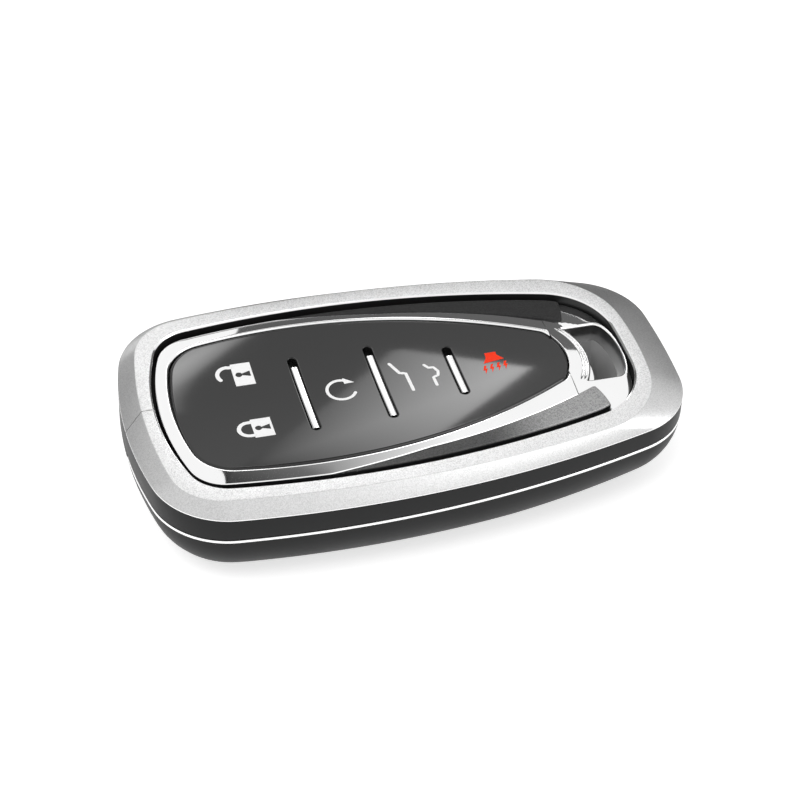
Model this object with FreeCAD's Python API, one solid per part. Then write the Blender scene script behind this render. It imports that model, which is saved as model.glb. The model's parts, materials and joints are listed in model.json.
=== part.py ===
import FreeCAD, Part
import math
import os

os.makedirs("parts", exist_ok=True)

# Millimetres. X runs from the nose (-X) to the key-ring end (+X), Y across, Z up from the rest face.
# A place "from nose" is measured along X from the nose of the cover.

# Along the length, from the nose: pad, first bar, bar to bar, last bar to the end of the pad, tail
PAD_NOSE_INSET = 7.3
FIRST_BAR = 19.75
BAR_PITCH = 11.75
LAST_BAR = 17.45
PAD_TAIL_INSET = 16.0

# Across the width
PAD_WIDTH = 30.8
PAD_SIDE_INSET = 8.6

# Cover outline
TAIL_WIDTH = 31.8
WIDEST_FROM_NOSE = 30.9
NOSE_BOW = 4.1
TAIL_BOW = 1.05
SHELL_EDGE_RADIUS = 8.5
NOSE_CORNER_EXTRA = 3.6
TAIL_CORNER_EXTRA = 3.0

# Cover walls
FRAME_THICKNESS = 1.85
FLAT_NOSE_INSET = 2.8
FLAT_SIDE_INSET = 2.2
FLAT_TAIL_INSET = 4.7
FLAT_TAIL_WIDTH = 32.6
FLAT_WIDEST_FROM_NOSE = 33.2
FLAT_NOSE_BOW = 2.7
FLAT_TAIL_BOW = 2.3
FLAT_NOSE_CORNER = 8.2
FLAT_TAIL_CORNER = 13.0
WINDOW_NOSE_INSET = 4.75
WINDOW_SIDE_INSET = 4.8
WINDOW_TAIL_INSET = 6.95
WINDOW_TAIL_WIDTH = 25.0
WINDOW_WIDEST_FROM_NOSE = 32.2
WINDOW_NOSE_BOW = 3.75
WINDOW_TAIL_BOW = 0.7
WINDOW_NOSE_CORNER = 6.6
WINDOW_TAIL_CORNER = 10.8
WINDOW_CHAMFER = 0.25
SLIT_WIDTH = 0.14
SLIT_Y = 0.95
SLIT_FOOT_Y = -1.1
LIP_THICKNESS = 1.2
LIP_SETBACK = 0.35
SIDE_WALL = 2.2
NOSE_WALL = 2.3
TAIL_WALL = 4.6
FLOOR_THICKNESS = 1.3
CROWN_RADIUS = 800.0
CROWN_FROM_NOSE = 34.0
REST_FLAT_DEPTH = 0.25

# Joint between the two cover halves
BAND_HEIGHT_NOSE = 3.9
BAND_HEIGHT_TAIL = 3.0
PARTING_GAP = 0.1
TONGUE_THICKNESS = 0.9
TONGUE_HEIGHT = 1.2
TRIM_HEIGHT = 0.45
TRIM_DEPTH = 0.8
TRIM_PROUD = 0.08
TRIM_START_Y = -1.9
TRIM_END_Y = 11.5
CLEARANCE = 0.3
SNUG = 0.05

# Lining pads under the fob
LINING_PAD_RADIUS = 3.0
LINING_PAD_DEPTH = 0.5
LINING_PADS_FROM_NOSE = (17.0, 52.0)
LINING_PAD_Y = 8.0

# Fob housing
FOB_WALL = 1.3
FOB_FLOOR = 1.2
SPLIT_BELOW_BOARD = 0.58
DECK_THICKNESS = 0.9
INNER_EDGE_RADIUS = 4.0
SEAL_WIDTH = 0.5
SEAL_DEPTH = 0.6
TAIL_PARTITION = 1.2
HEAD_LENGTH = 12.2
PLATEAU_GAP = 0.4
PLATEAU_RISE = 0.5
SHOULDER_DROP = 0.7
BOARD_POST_RADIUS = 1.2
NOSE_POST_FROM_NOSE = 9.0
NOSE_POST_Y = 9.0
TAIL_POST_BACK = 5.4
TAIL_POST_Y = 10.0

# Bezel, pad and cheeks
FACE_DROP = 0.05
BEZEL_NOSE_INSET = 5.4
BEZEL_SIDE_INSET = 7.6
BEZEL_TAIL_INSET = 9.0
BEZEL_TAIL_WIDTH = 12.0
BEZEL_WIDEST_FROM_NOSE = 31.0
BEZEL_NOSE_BOW = 2.2
BEZEL_TAIL_BOW = 1.37
BEZEL_NOSE_CORNER = 6.5
BEZEL_TAIL_CORNER = 4.0
BEZEL_CHAMFER = 0.35
PAD_TAIL_WIDTH = 11.6
PAD_WIDEST_FROM_NOSE = 27.6
PAD_NOSE_BOW = 2.3
PAD_TAIL_BOW = 2.0
PAD_NOSE_CORNER = 6.6
PAD_TAIL_CORNER = 2.0
PAD_LEDGE = 1.5
DISH_FROM_NOSE = 22.0
DISH_DEPTH = 0.95
DISH_LONG_RADIUS = 1400.0
DISH_CROSS_RADIUS = 130.0
CHEEK_START_FROM_NOSE = 27.0
CHEEK_TIP_WIDTH = 0.8
CHEEK_MEETS_BEZEL_FROM_NOSE = 42.3
CHEEK_TUCK = 1.0
CHEEK_SETBACK = 0.8
CHEEK_DROP = 0.35
CHEEK_END_INSET = 13.1
CHEEK_END_BULGE = 1.4

# Key-ring slot and emergency key
SLOT_MID_RADIUS = 14.0
SLOT_HALF_WIDTH = 3.0
SLOT_HALF_ANGLE = 15.0
BLADE_LENGTH = 34.0
BLADE_WIDTH = 7.0
BLADE_THICKNESS = 2.0
BLADE_LIFT = 0.7
BLADE_ROOT = 2.4
BLADE_TIP = 3.0
BLADE_GROOVE_WIDTH = 1.6
BLADE_GROOVE_DEPTH = 0.5
PIN_RADIUS = 0.6
PIN_TOP_MARGIN = 1.0

# Buttons; the pair lies ahead of the first bar, the next two between bars, the last behind the bars
PAIR_BACK = 7.85
PAIR_Y = 6.1
PAIR_LENGTH = 9.0
PAIR_WIDTH = 7.6
BETWEEN_BARS_GAP = 1.9
MIDDLE_WIDTH = 13.0
PANIC_FORWARD = 6.1
PANIC_LENGTH = 8.0
PANIC_WIDTH = 9.0
BUTTON_CORNER = 1.6
BUTTON_GAP = 0.25
BUTTON_POST_RADIUS = 1.5
BUTTON_POST_LENGTH = 0.72
BUTTON_TRAVEL = 0.5

# Chrome separator bars
BAR_SLOT_LENGTHS = (17.4, 17.4, 11.8)
BAR_LENGTHS = (13.8, 13.8, 9.8)
BAR_WIDTH = 0.9
BAR_GAP = 0.18
BAR_DEPTH = 1.0

# Board and what it carries, places from nose and in from the side of the fob's hollow
BOARD_THICKNESS = 1.0
BOARD_MARGIN = 0.5
SWITCH_SIDE = 4.2
SWITCH_HEIGHT = 1.6
STEM_RADIUS = 0.9
STEM_MARGIN = 0.2
STEM_BORE_FLOOR = 0.3
CELL_FROM_NOSE = 19.5
CELL_RADIUS = 10.0
CELL_THICKNESS = 3.2
CONTACT_THICKNESS = 0.3
CONTACT_RADIUS = 7.0
TAB_WIDTH = 3.0
CLIP_SIDE = 8.0
COIL_SIDE = 9.0
COIL_HEIGHT = 3.2
COIL_PLACE = (52.0, 9.7)
CONTROLLER_SIZE = (7.0, 7.0, 0.9)
CONTROLLER_PLACE = (38.5, 9.2)
RADIO_SIZE = (5.0, 5.0, 0.8)
RADIO_PLACE = (38.5, 9.7)
CRYSTAL_SIZE = (3.2, 2.5, 0.7)
CRYSTAL_PLACE = (48.0, 10.2)

# Places and levels worked out from the sizes above, the levels stacked from the rest face up
PAD_LENGTH = FIRST_BAR + (len(BAR_SLOT_LENGTHS) - 1) * BAR_PITCH + LAST_BAR
COVER_LENGTH = PAD_NOSE_INSET + PAD_LENGTH + PAD_TAIL_INSET
COVER_WIDTH = PAD_WIDTH + 2.0 * PAD_SIDE_INSET
FAR = 2.0 * COVER_LENGTH
NOSE_X = -COVER_LENGTH / 2.0
SEAM_X = COVER_LENGTH / 2.0 - TAIL_WALL - CLEARANCE - HEAD_LENGTH
CROWN_X = NOSE_X + CROWN_FROM_NOSE
CELL_X = NOSE_X + CELL_FROM_NOSE
FOB_BOTTOM = FLOOR_THICKNESS + CLEARANCE
CROWN_AT_SEAM = (SEAM_X - CROWN_X) ** 2 / (2.0 * CROWN_RADIUS)
FOB_FLOOR_Z = FOB_BOTTOM + CROWN_AT_SEAM + FOB_FLOOR
BLADE_Z = FOB_FLOOR_Z + BLADE_LIFT
CELL_Z = FOB_FLOOR_Z + CONTACT_THICKNESS
BOARD_Z = CELL_Z + CELL_THICKNESS + 2.0 * CONTACT_THICKNESS
FOB_SPLIT_Z = BOARD_Z - SPLIT_BELOW_BOARD
BOARD_TOP = BOARD_Z + BOARD_THICKNESS
SWITCH_TOP = BOARD_TOP + SWITCH_HEIGHT
STEM_TOP = SWITCH_TOP + BUTTON_TRAVEL + STEM_MARGIN
DECK_Z = STEM_TOP + BUTTON_POST_LENGTH
LIP_Z = DECK_Z + CLEARANCE
FRAME_Z = LIP_Z + LIP_THICKNESS
COVER_TOP = FRAME_Z + FRAME_THICKNESS
FACE_Z = COVER_TOP - FACE_DROP
SHOULDER_Z = FACE_Z - SHOULDER_DROP
DISH_Z = FACE_Z - DISH_DEPTH
PARTING_NOSE_Z = FRAME_Z - BAND_HEIGHT_NOSE
PARTING_TAIL_Z = FRAME_Z - BAND_HEIGHT_TAIL


def vec(x, y, z=0.0):
    return FreeCAD.Vector(x, y, z)


def outline(nose, tail, half, widest, tail_half, nose_bow, tail_bow, nose_c, tail_c):
    # side arc from the widest place to the tail corner, end arcs bowed out between the corners
    drop = half - tail_half
    side_r = ((tail - tail_bow - widest) ** 2 + drop ** 2) / (2.0 * drop)
    nose_half = half - side_r + math.sqrt(side_r ** 2 - (widest - nose - nose_bow) ** 2)
    nose_r = (nose_half ** 2 + nose_bow ** 2) / (2.0 * nose_bow)
    tail_r = (tail_half ** 2 + tail_bow ** 2) / (2.0 * tail_bow)
    return dict(nose=nose, tail=tail, half=half, widest=widest, nose_r=nose_r,
                tail_r=tail_r, side_r=side_r, nose_c=nose_c, tail_c=tail_c)


def inset(shape, nose, side, tail, corner):
    # every edge moves in; a negative value moves it out
    moved = dict(shape)
    moved.update(nose=shape["nose"] + nose, tail=shape["tail"] - tail, half=shape["half"] - side,
                 nose_r=shape["nose_r"] - nose, tail_r=shape["tail_r"] - tail,
                 side_r=shape["side_r"] - side, nose_c=shape["nose_c"] - corner,
                 tail_c=shape["tail_c"] - corner)
    return moved


def even(shape, amount):
    return inset(shape, amount, amount, amount, amount)


def corner_centre(end_centre, end_reach, side_centre, side_reach, toward):
    # meeting point of two circles nearer one end, the centre of a corner arc tangent to both edges
    dx = side_centre[0] - end_centre[0]
    dy = side_centre[1] - end_centre[1]
    span = math.hypot(dx, dy)
    along = (end_reach ** 2 - side_reach ** 2 + span ** 2) / (2.0 * span)
    height = math.sqrt(end_reach ** 2 - along ** 2)
    mid = (end_centre[0] + along * dx / span, end_centre[1] + along * dy / span)
    first = (mid[0] - height * dy / span, mid[1] + height * dx / span)
    second = (mid[0] + height * dy / span, mid[1] - height * dx / span)
    return max(first, second, key=lambda point: toward * point[0])


def on_circle(centre, radius, through):
    # point where the ray from one centre through another leaves the circle
    angle = math.atan2(through[1] - centre[1], through[0] - centre[0])
    return (centre[0] + radius * math.cos(angle), centre[1] + radius * math.sin(angle))


def between(centre, radius, first, last):
    middle = ((first[0] + last[0]) / 2.0, (first[1] + last[1]) / 2.0)
    return on_circle(centre, radius, middle)


def arc_edge(first, middle, last, z):
    return Part.Arc(vec(*first, z), vec(*middle, z), vec(*last, z)).toShape()


def flip(point):
    return (point[0], -point[1])


def ring(shape, z):
    # closed wire of eight tangent arcs: nose, corners, sides and tail
    nose_c = (shape["nose"] + shape["nose_r"], 0.0)
    tail_c = (shape["tail"] - shape["tail_r"], 0.0)
    side_c = (shape["widest"], shape["half"] - shape["side_r"])
    near_nose = corner_centre(nose_c, shape["nose_r"] - shape["nose_c"],
                              side_c, shape["side_r"] - shape["nose_c"], -1.0)
    near_tail = corner_centre(tail_c, shape["tail_r"] - shape["tail_c"],
                              side_c, shape["side_r"] - shape["tail_c"], 1.0)
    a = on_circle(nose_c, shape["nose_r"], near_nose)
    b = on_circle(side_c, shape["side_r"], near_nose)
    c = on_circle(side_c, shape["side_r"], near_tail)
    d = on_circle(tail_c, shape["tail_r"], near_tail)
    nose_mid = between(near_nose, shape["nose_c"], a, b)
    side_mid = between(side_c, shape["side_r"], b, c)
    tail_mid = between(near_tail, shape["tail_c"], c, d)
    edges = [
        arc_edge(flip(a), (shape["nose"], 0.0), a, z),
        arc_edge(a, nose_mid, b, z),
        arc_edge(b, side_mid, c, z),
        arc_edge(c, tail_mid, d, z),
        arc_edge(d, (shape["tail"], 0.0), flip(d), z),
        arc_edge(flip(d), flip(tail_mid), flip(c), z),
        arc_edge(flip(c), flip(side_mid), flip(b), z),
        arc_edge(flip(b), flip(nose_mid), flip(a), z),
    ]
    return Part.Wire(edges)


def prism(shape, low, high):
    return Part.Face(ring(shape, low)).extrude(vec(0, 0, high - low))


def taper(lower, low, upper, high):
    return Part.makeLoft([ring(lower, low), ring(upper, high)], True, True)


def box(x0, x1, y0, y1, z0, z1):
    return Part.makeBox(x1 - x0, y1 - y0, z1 - z0, vec(x0, y0, z0))


def block(cx, cy, length, width, z0, z1):
    return box(cx - length / 2.0, cx + length / 2.0, cy - width / 2.0, cy + width / 2.0, z0, z1)


def post(cx, cy, radius, z0, z1):
    return Part.makeCylinder(radius, z1 - z0, vec(cx, cy, z0))


def before(x):
    return box(-FAR, x, -FAR, FAR, -FAR, FAR)


def beyond(x):
    return box(x, FAR, -FAR, FAR, -FAR, FAR)


def below_parting(shift):
    # everything under the sloping plane where the two cover halves meet
    slope = (PARTING_TAIL_Z - PARTING_NOSE_Z) / COVER_LENGTH
    middle = (PARTING_TAIL_Z + PARTING_NOSE_Z) / 2.0 + shift
    corners = [vec(-FAR, -FAR, -FAR), vec(FAR, -FAR, -FAR), vec(FAR, -FAR, middle + slope * FAR),
               vec(-FAR, -FAR, middle - slope * FAR), vec(-FAR, -FAR, -FAR)]
    return Part.Face(Part.makePolygon(corners)).extrude(vec(0, 2.0 * FAR, 0))


def tub(shape, bottom, top, edge_radius, crown):
    # upright walls with a rounded lower edge; the bottom may be crowned along the length
    solid = prism(shape, bottom - edge_radius, top)
    if crown:
        middle = vec(CROWN_X, -FAR, bottom + CROWN_RADIUS)
        solid = solid.common(Part.makeCylinder(CROWN_RADIUS, 2.0 * FAR, middle, vec(0, 1, 0)))
    else:
        solid = solid.common(box(-FAR, FAR, -FAR, FAR, bottom, FAR))
    lower = [edge for edge in solid.Edges if edge.BoundBox.ZMax < top - SNUG and not upright(edge)]
    return solid.makeFillet(edge_radius, lower)


def upright(edge):
    return edge.BoundBox.ZLength > edge.BoundBox.XLength and edge.BoundBox.ZLength > edge.BoundBox.YLength


def save(name, solid):
    clean = solid.removeSplitter()
    if len(clean.Solids) == 1:
        clean = clean.Solids[0]
    clean.exportStep("parts/" + name + ".step")
    print(name, clean.isValid(), len(clean.Solids), round(clean.Volume, 2))


# Outlines
COVER = outline(NOSE_X, COVER_LENGTH / 2.0, COVER_WIDTH / 2.0, NOSE_X + WIDEST_FROM_NOSE,
                TAIL_WIDTH / 2.0, NOSE_BOW, TAIL_BOW, SHELL_EDGE_RADIUS + NOSE_CORNER_EXTRA,
                SHELL_EDGE_RADIUS + TAIL_CORNER_EXTRA)
FLAT = outline(COVER["nose"] + FLAT_NOSE_INSET, COVER["tail"] - FLAT_TAIL_INSET,
               COVER["half"] - FLAT_SIDE_INSET, NOSE_X + FLAT_WIDEST_FROM_NOSE,
               FLAT_TAIL_WIDTH / 2.0, FLAT_NOSE_BOW, FLAT_TAIL_BOW, FLAT_NOSE_CORNER,
               FLAT_TAIL_CORNER)
WINDOW = outline(COVER["nose"] + WINDOW_NOSE_INSET, COVER["tail"] - WINDOW_TAIL_INSET,
                 COVER["half"] - WINDOW_SIDE_INSET, NOSE_X + WINDOW_WIDEST_FROM_NOSE,
                 WINDOW_TAIL_WIDTH / 2.0, WINDOW_NOSE_BOW, WINDOW_TAIL_BOW, WINDOW_NOSE_CORNER,
                 WINDOW_TAIL_CORNER)
CAVITY = inset(COVER, NOSE_WALL, SIDE_WALL, TAIL_WALL, SIDE_WALL)
FOB = even(CAVITY, CLEARANCE)
FOB_INNER = even(FOB, FOB_WALL)
PLATEAU = even(WINDOW, PLATEAU_GAP)
BEZEL = outline(COVER["nose"] + BEZEL_NOSE_INSET, COVER["tail"] - BEZEL_TAIL_INSET,
                COVER["half"] - BEZEL_SIDE_INSET, NOSE_X + BEZEL_WIDEST_FROM_NOSE,
                BEZEL_TAIL_WIDTH / 2.0, BEZEL_NOSE_BOW, BEZEL_TAIL_BOW, BEZEL_NOSE_CORNER,
                BEZEL_TAIL_CORNER)
PAD = outline(COVER["nose"] + PAD_NOSE_INSET, COVER["tail"] - PAD_TAIL_INSET,
              PAD_WIDTH / 2.0, NOSE_X + PAD_WIDEST_FROM_NOSE, PAD_TAIL_WIDTH / 2.0,
              PAD_NOSE_BOW, PAD_TAIL_BOW, PAD_NOSE_CORNER, PAD_TAIL_CORNER)


def slit():
    # fine break at the nose, straight over the flat and slanting down the bevel
    half = SLIT_WIDTH / 2.0
    inside_x = WINDOW["nose"] + WINDOW_NOSE_INSET
    foot_x = COVER["nose"] - SLIT_WIDTH
    plan = ((inside_x, SLIT_Y - half), (inside_x, SLIT_Y + half), (FLAT["nose"], SLIT_Y + half),
            (foot_x, SLIT_FOOT_Y + half), (foot_x, SLIT_FOOT_Y - half), (FLAT["nose"], SLIT_Y - half),
            (inside_x, SLIT_Y - half))
    corners = [vec(x, y, FRAME_Z) for x, y in plan]
    return Part.Face(Part.makePolygon(corners)).extrude(vec(0, 0, FRAME_THICKNESS))


def front_frame():
    frame = taper(COVER, FRAME_Z, FLAT, COVER_TOP)
    frame = frame.cut(prism(WINDOW, FRAME_Z, COVER_TOP))
    chamfer = taper(WINDOW, COVER_TOP - WINDOW_CHAMFER, even(WINDOW, -WINDOW_CHAMFER), COVER_TOP)
    frame = frame.cut(chamfer)
    return frame.cut(slit())


def tongue_zone(play):
    # ring along the inside of the wall that locates one half in the other
    return prism(even(CAVITY, -TONGUE_THICKNESS - play), 0.0, COVER_TOP)


def front_band():
    band = prism(COVER, 0.0, FRAME_Z).cut(below_parting(PARTING_GAP))
    band = band.cut(prism(CAVITY, 0.0, LIP_Z))
    band = band.cut(prism(even(WINDOW, -LIP_SETBACK), 0.0, FRAME_Z))
    rebate = tongue_zone(CLEARANCE).common(below_parting(TONGUE_HEIGHT + CLEARANCE))
    return band.cut(rebate)


def trim_strip():
    outer = prism(even(COVER, -TRIM_PROUD), 0.0, COVER_TOP)
    strip = outer.cut(prism(even(COVER, TRIM_DEPTH), 0.0, COVER_TOP))
    strip = strip.common(below_parting(0.0)).cut(below_parting(-TRIM_HEIGHT))
    bare = box(-FAR, COVER["nose"] + COVER["nose_c"], TRIM_START_Y, TRIM_END_Y, -FAR, FAR)
    return strip.cut(bare)


def ring_slot(grow):
    # kidney slot bent about a centre on the length of the fob
    centre_x = PLATEAU["tail"] + CLEARANCE - SLOT_HALF_WIDTH - SLOT_MID_RADIUS
    half = SLOT_HALF_WIDTH + grow
    turn = math.radians(SLOT_HALF_ANGLE)

    def polar(radius, angle):
        return (centre_x + radius * math.cos(angle), radius * math.sin(angle))

    inner = SLOT_MID_RADIUS - half
    outer = SLOT_MID_RADIUS + half
    tip = turn + half / SLOT_MID_RADIUS
    edges = [
        arc_edge(polar(inner, -turn), polar(inner, 0.0), polar(inner, turn), -COVER_TOP),
        arc_edge(polar(inner, turn), polar(SLOT_MID_RADIUS, tip), polar(outer, turn), -COVER_TOP),
        arc_edge(polar(outer, turn), polar(outer, 0.0), polar(outer, -turn), -COVER_TOP),
        arc_edge(polar(outer, -turn), polar(SLOT_MID_RADIUS, -tip), polar(inner, -turn), -COVER_TOP),
    ]
    return Part.Face(Part.Wire(edges)).extrude(vec(0, 0, 3.0 * COVER_TOP))


def fob_body():
    return tub(FOB, FOB_BOTTOM, DECK_Z, SHELL_EDGE_RADIUS - SIDE_WALL - CLEARANCE, True)


def lining_places():
    return [(NOSE_X + x, side * LINING_PAD_Y) for x in LINING_PADS_FROM_NOSE for side in (-1.0, 1.0)]


def lining_blanks():
    low = FLOOR_THICKNESS - LINING_PAD_DEPTH
    discs = [post(x, y, LINING_PAD_RADIUS, low, FOB_BOTTOM + LINING_PAD_DEPTH) for x, y in lining_places()]
    return Part.makeCompound(discs)


def rear_shell():
    outer = tub(COVER, -REST_FLAT_DEPTH, COVER_TOP, SHELL_EDGE_RADIUS, True)
    outer = outer.common(box(-FAR, FAR, -FAR, FAR, 0.0, FAR))
    wall = outer.common(below_parting(0.0))
    tongue = outer.common(tongue_zone(0.0)).common(below_parting(TONGUE_HEIGHT))
    shell = wall.fuse(tongue)
    shell = shell.cut(tub(CAVITY, FLOOR_THICKNESS, COVER_TOP, SHELL_EDGE_RADIUS - SIDE_WALL, True))
    shell = shell.cut(trim_strip())
    shell = shell.cut(ring_slot(CLEARANCE))
    return shell.cut(lining_blanks())


def lining_pads():
    return lining_blanks().cut(fob_body())


def plateau():
    # raised face of the fob: a low step, a sloping shoulder and the flat middle
    step = prism(PLATEAU, DECK_Z, DECK_Z + PLATEAU_RISE)
    slope = taper(PLATEAU, DECK_Z + PLATEAU_RISE, BEZEL, SHOULDER_Z)
    return step.fuse(slope).fuse(face_middle())


def face_middle():
    walls = prism(BEZEL, DECK_Z, FACE_Z - BEZEL_CHAMFER)
    return walls.fuse(taper(BEZEL, FACE_Z - BEZEL_CHAMFER, even(BEZEL, BEZEL_CHAMFER), FACE_Z))


def side_y(shape, x):
    # half width on the side arc at a place along the length
    return shape["half"] - shape["side_r"] + math.sqrt(shape["side_r"] ** 2 - (x - shape["widest"]) ** 2)


def cheek_zone(side):
    # starts as a thin tip at the window, meets the bezel and runs along it to a rounded end
    start_x = NOSE_X + CHEEK_START_FROM_NOSE
    meet_x = NOSE_X + CHEEK_MEETS_BEZEL_FROM_NOSE
    end_x = COVER["tail"] - CHEEK_END_INSET
    stop = end_x - CHEEK_END_BULGE
    start = (start_x, side * (side_y(PLATEAU, start_x) - CHEEK_TIP_WIDTH))
    meet = (meet_x, side * side_y(BEZEL, meet_x))
    last = (stop, side * (side_y(BEZEL, stop) - CHEEK_TUCK))
    edge = side * PLATEAU["half"]
    rim = side * COVER["half"]
    edges = [
        arc_edge(start, meet, last, DECK_Z),
        arc_edge(last, (end_x, (last[1] + edge) / 2.0), (stop, edge), DECK_Z),
        Part.makeLine(vec(stop, edge, DECK_Z), vec(stop, rim, DECK_Z)),
        Part.makeLine(vec(stop, rim, DECK_Z), vec(start_x, rim, DECK_Z)),
        Part.makeLine(vec(start_x, rim, DECK_Z), vec(*start, DECK_Z)),
    ]
    return Part.Face(Part.Wire(edges)).extrude(vec(0, 0, COVER_TOP))


def cheek(side):
    # flat-topped inlay set back from the edge of the raised face
    flat = prism(even(PLATEAU, CHEEK_SETBACK), DECK_Z, FACE_Z - CHEEK_DROP)
    return flat.common(cheek_zone(side)).cut(prism(BEZEL, DECK_Z, COVER_TOP))


def pad_zone(play):
    return prism(even(PAD, play), DECK_Z, COVER_TOP)


def chrome_bezel():
    # bright rim round the pad with a skirt that slopes down inside the window
    rim = plateau().common(before(SEAM_X)).cut(pad_zone(0.0))
    rim = rim.cut(taper(PAD, FACE_Z - BEZEL_CHAMFER, even(PAD, -BEZEL_CHAMFER), FACE_Z))
    for side in (-1.0, 1.0):
        rim = rim.cut(cheek(side))
    return rim


def board_posts(z0, z1):
    places = ((NOSE_X + NOSE_POST_FROM_NOSE, NOSE_POST_Y), (SEAM_X - TAIL_POST_BACK, TAIL_POST_Y))
    posts = [post(x, side * y, BOARD_POST_RADIUS, z0, z1) for x, y in places for side in (-1.0, 1.0)]
    return Part.makeCompound(posts)


def blade_way():
    return box(-FAR, SEAM_X + BLADE_ROOT, -BLADE_WIDTH / 2.0 - CLEARANCE, BLADE_WIDTH / 2.0 + CLEARANCE,
               BLADE_Z - CLEARANCE, BLADE_Z + BLADE_THICKNESS + CLEARANCE)


def housing_seal():
    side_gap = (FOB_WALL - SEAL_WIDTH) / 2.0
    tail_x = SEAM_X - (TAIL_PARTITION - SEAL_WIDTH) / 2.0
    low = FOB_SPLIT_Z - SEAL_DEPTH
    outer = prism(even(FOB, side_gap), low, FOB_SPLIT_Z).common(before(tail_x))
    inner = prism(even(FOB, side_gap + SEAL_WIDTH), low, FOB_SPLIT_Z)
    return outer.cut(inner.common(before(tail_x - SEAL_WIDTH)))


def fob_rear_housing():
    body = fob_body().common(box(-FAR, SEAM_X, -FAR, FAR, 0.0, FOB_SPLIT_Z))
    hollow = tub(FOB_INNER, FOB_FLOOR_Z, COVER_TOP, INNER_EDGE_RADIUS, False)
    hollow = hollow.common(before(SEAM_X - TAIL_PARTITION)).cut(board_posts(0.0, COVER_TOP))
    tall = board_posts(FOB_FLOOR_Z, BOARD_Z)
    body = body.cut(hollow).fuse(tall)
    body = body.cut(housing_seal())
    return body.cut(blade_way().common(beyond(SEAM_X - 2.0 * TAIL_PARTITION)))


def fob_front_housing():
    body = prism(FOB, FOB_SPLIT_Z, DECK_Z)
    hollow = prism(FOB_INNER, FOB_SPLIT_Z, DECK_Z - DECK_THICKNESS)
    body = body.cut(hollow.common(before(SEAM_X - TAIL_PARTITION)))
    body = body.common(before(SEAM_X))
    opening = inset(PAD, PAD_LEDGE, PAD_LEDGE, PAD_LEDGE, 0.0)
    body = body.cut(prism(opening, FOB_SPLIT_Z, DECK_Z))
    return body.fuse(board_posts(BOARD_TOP, DECK_Z))


def key_head():
    head = fob_body().common(beyond(SEAM_X)).fuse(plateau().common(beyond(SEAM_X)))
    head = head.cut(pad_zone(0.0)).cut(ring_slot(0.0))
    for side in (-1.0, 1.0):
        head = head.cut(cheek(side))
    pocket = block(SEAM_X, 0.0, 2.0 * BLADE_ROOT, BLADE_WIDTH, BLADE_Z, BLADE_Z + BLADE_THICKNESS)
    return head.cut(pocket).cut(blade_pin())


def blade_pin():
    # driven in from below, flush with the underside of the head
    top = BLADE_Z + BLADE_THICKNESS + PIN_TOP_MARGIN
    return post(SEAM_X + BLADE_ROOT / 2.0, 0.0, PIN_RADIUS, 0.0, top).common(fob_body())


def key_blade():
    tip = SEAM_X + BLADE_ROOT - BLADE_LENGTH
    half = BLADE_WIDTH / 2.0
    root = SEAM_X + BLADE_ROOT
    bevel = tip + BLADE_TIP
    plan = ((root, -half), (root, half), (bevel, half), (tip, 0.0), (bevel, -half), (root, -half))
    corners = [vec(x, y, BLADE_Z) for x, y in plan]
    blade = Part.Face(Part.makePolygon(corners)).extrude(vec(0, 0, BLADE_THICKNESS))
    for z in (BLADE_Z, BLADE_Z + BLADE_THICKNESS):
        groove = block((tip + SEAM_X) / 2.0, 0.0, BLADE_LENGTH - 3.0 * BLADE_TIP, BLADE_GROOVE_WIDTH,
                       z - BLADE_GROOVE_DEPTH, z + BLADE_GROOVE_DEPTH)
        blade = blade.cut(groove)
    return blade.cut(blade_pin())


def dish():
    # large torus hanging over the pad; its lowest point presses the thumb scoop
    return Part.makeTorus(DISH_LONG_RADIUS - DISH_CROSS_RADIUS, DISH_CROSS_RADIUS,
                          vec(NOSE_X + DISH_FROM_NOSE, 0.0, DISH_Z + DISH_LONG_RADIUS), vec(0, 1, 0))


def rounded_block(cx, cy, length, width, corner, z0, z1):
    solid = block(cx, cy, length, width, z0, z1)
    return solid.makeFillet(corner, [edge for edge in solid.Edges if upright(edge)
                                     or edge.BoundBox.XLength + edge.BoundBox.YLength < SNUG])


def bar_x(number):
    return PAD["nose"] + FIRST_BAR + number * BAR_PITCH


def buttons():
    # name, centre, length and width of each pressed zone
    pair_x = bar_x(0) - PAIR_BACK
    middle_length = BAR_PITCH - 2.0 * BETWEEN_BARS_GAP
    return [
        ("unlock", pair_x, PAIR_Y, PAIR_LENGTH, PAIR_WIDTH),
        ("lock", pair_x, -PAIR_Y, PAIR_LENGTH, PAIR_WIDTH),
        ("start", (bar_x(0) + bar_x(1)) / 2.0, 0.0, middle_length, MIDDLE_WIDTH),
        ("tailgate", (bar_x(1) + bar_x(2)) / 2.0, 0.0, middle_length, MIDDLE_WIDTH),
        ("panic", bar_x(2) + PANIC_FORWARD, 0.0, PANIC_LENGTH, PANIC_WIDTH),
    ]


def bar_slot(number):
    return rounded_block(bar_x(number), 0.0, BAR_WIDTH + 2.0 * BAR_GAP, BAR_SLOT_LENGTHS[number],
                         BAR_WIDTH / 2.0, DISH_Z - BAR_DEPTH, COVER_TOP)


def separator_bar(number):
    solid = rounded_block(bar_x(number), 0.0, BAR_WIDTH, BAR_LENGTHS[number],
                          BAR_WIDTH / 3.0, DISH_Z - BAR_DEPTH, COVER_TOP)
    return solid.cut(dish())


def button_pad():
    pad = pad_zone(SNUG).cut(dish())
    for name, x, y, length, width in buttons():
        pad = pad.cut(rounded_block(x, y, length + 2.0 * BUTTON_GAP, width + 2.0 * BUTTON_GAP,
                                    BUTTON_CORNER + BUTTON_GAP, DECK_Z, COVER_TOP))
    for number in range(len(BAR_SLOT_LENGTHS)):
        pad = pad.cut(bar_slot(number))
    return pad


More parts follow.
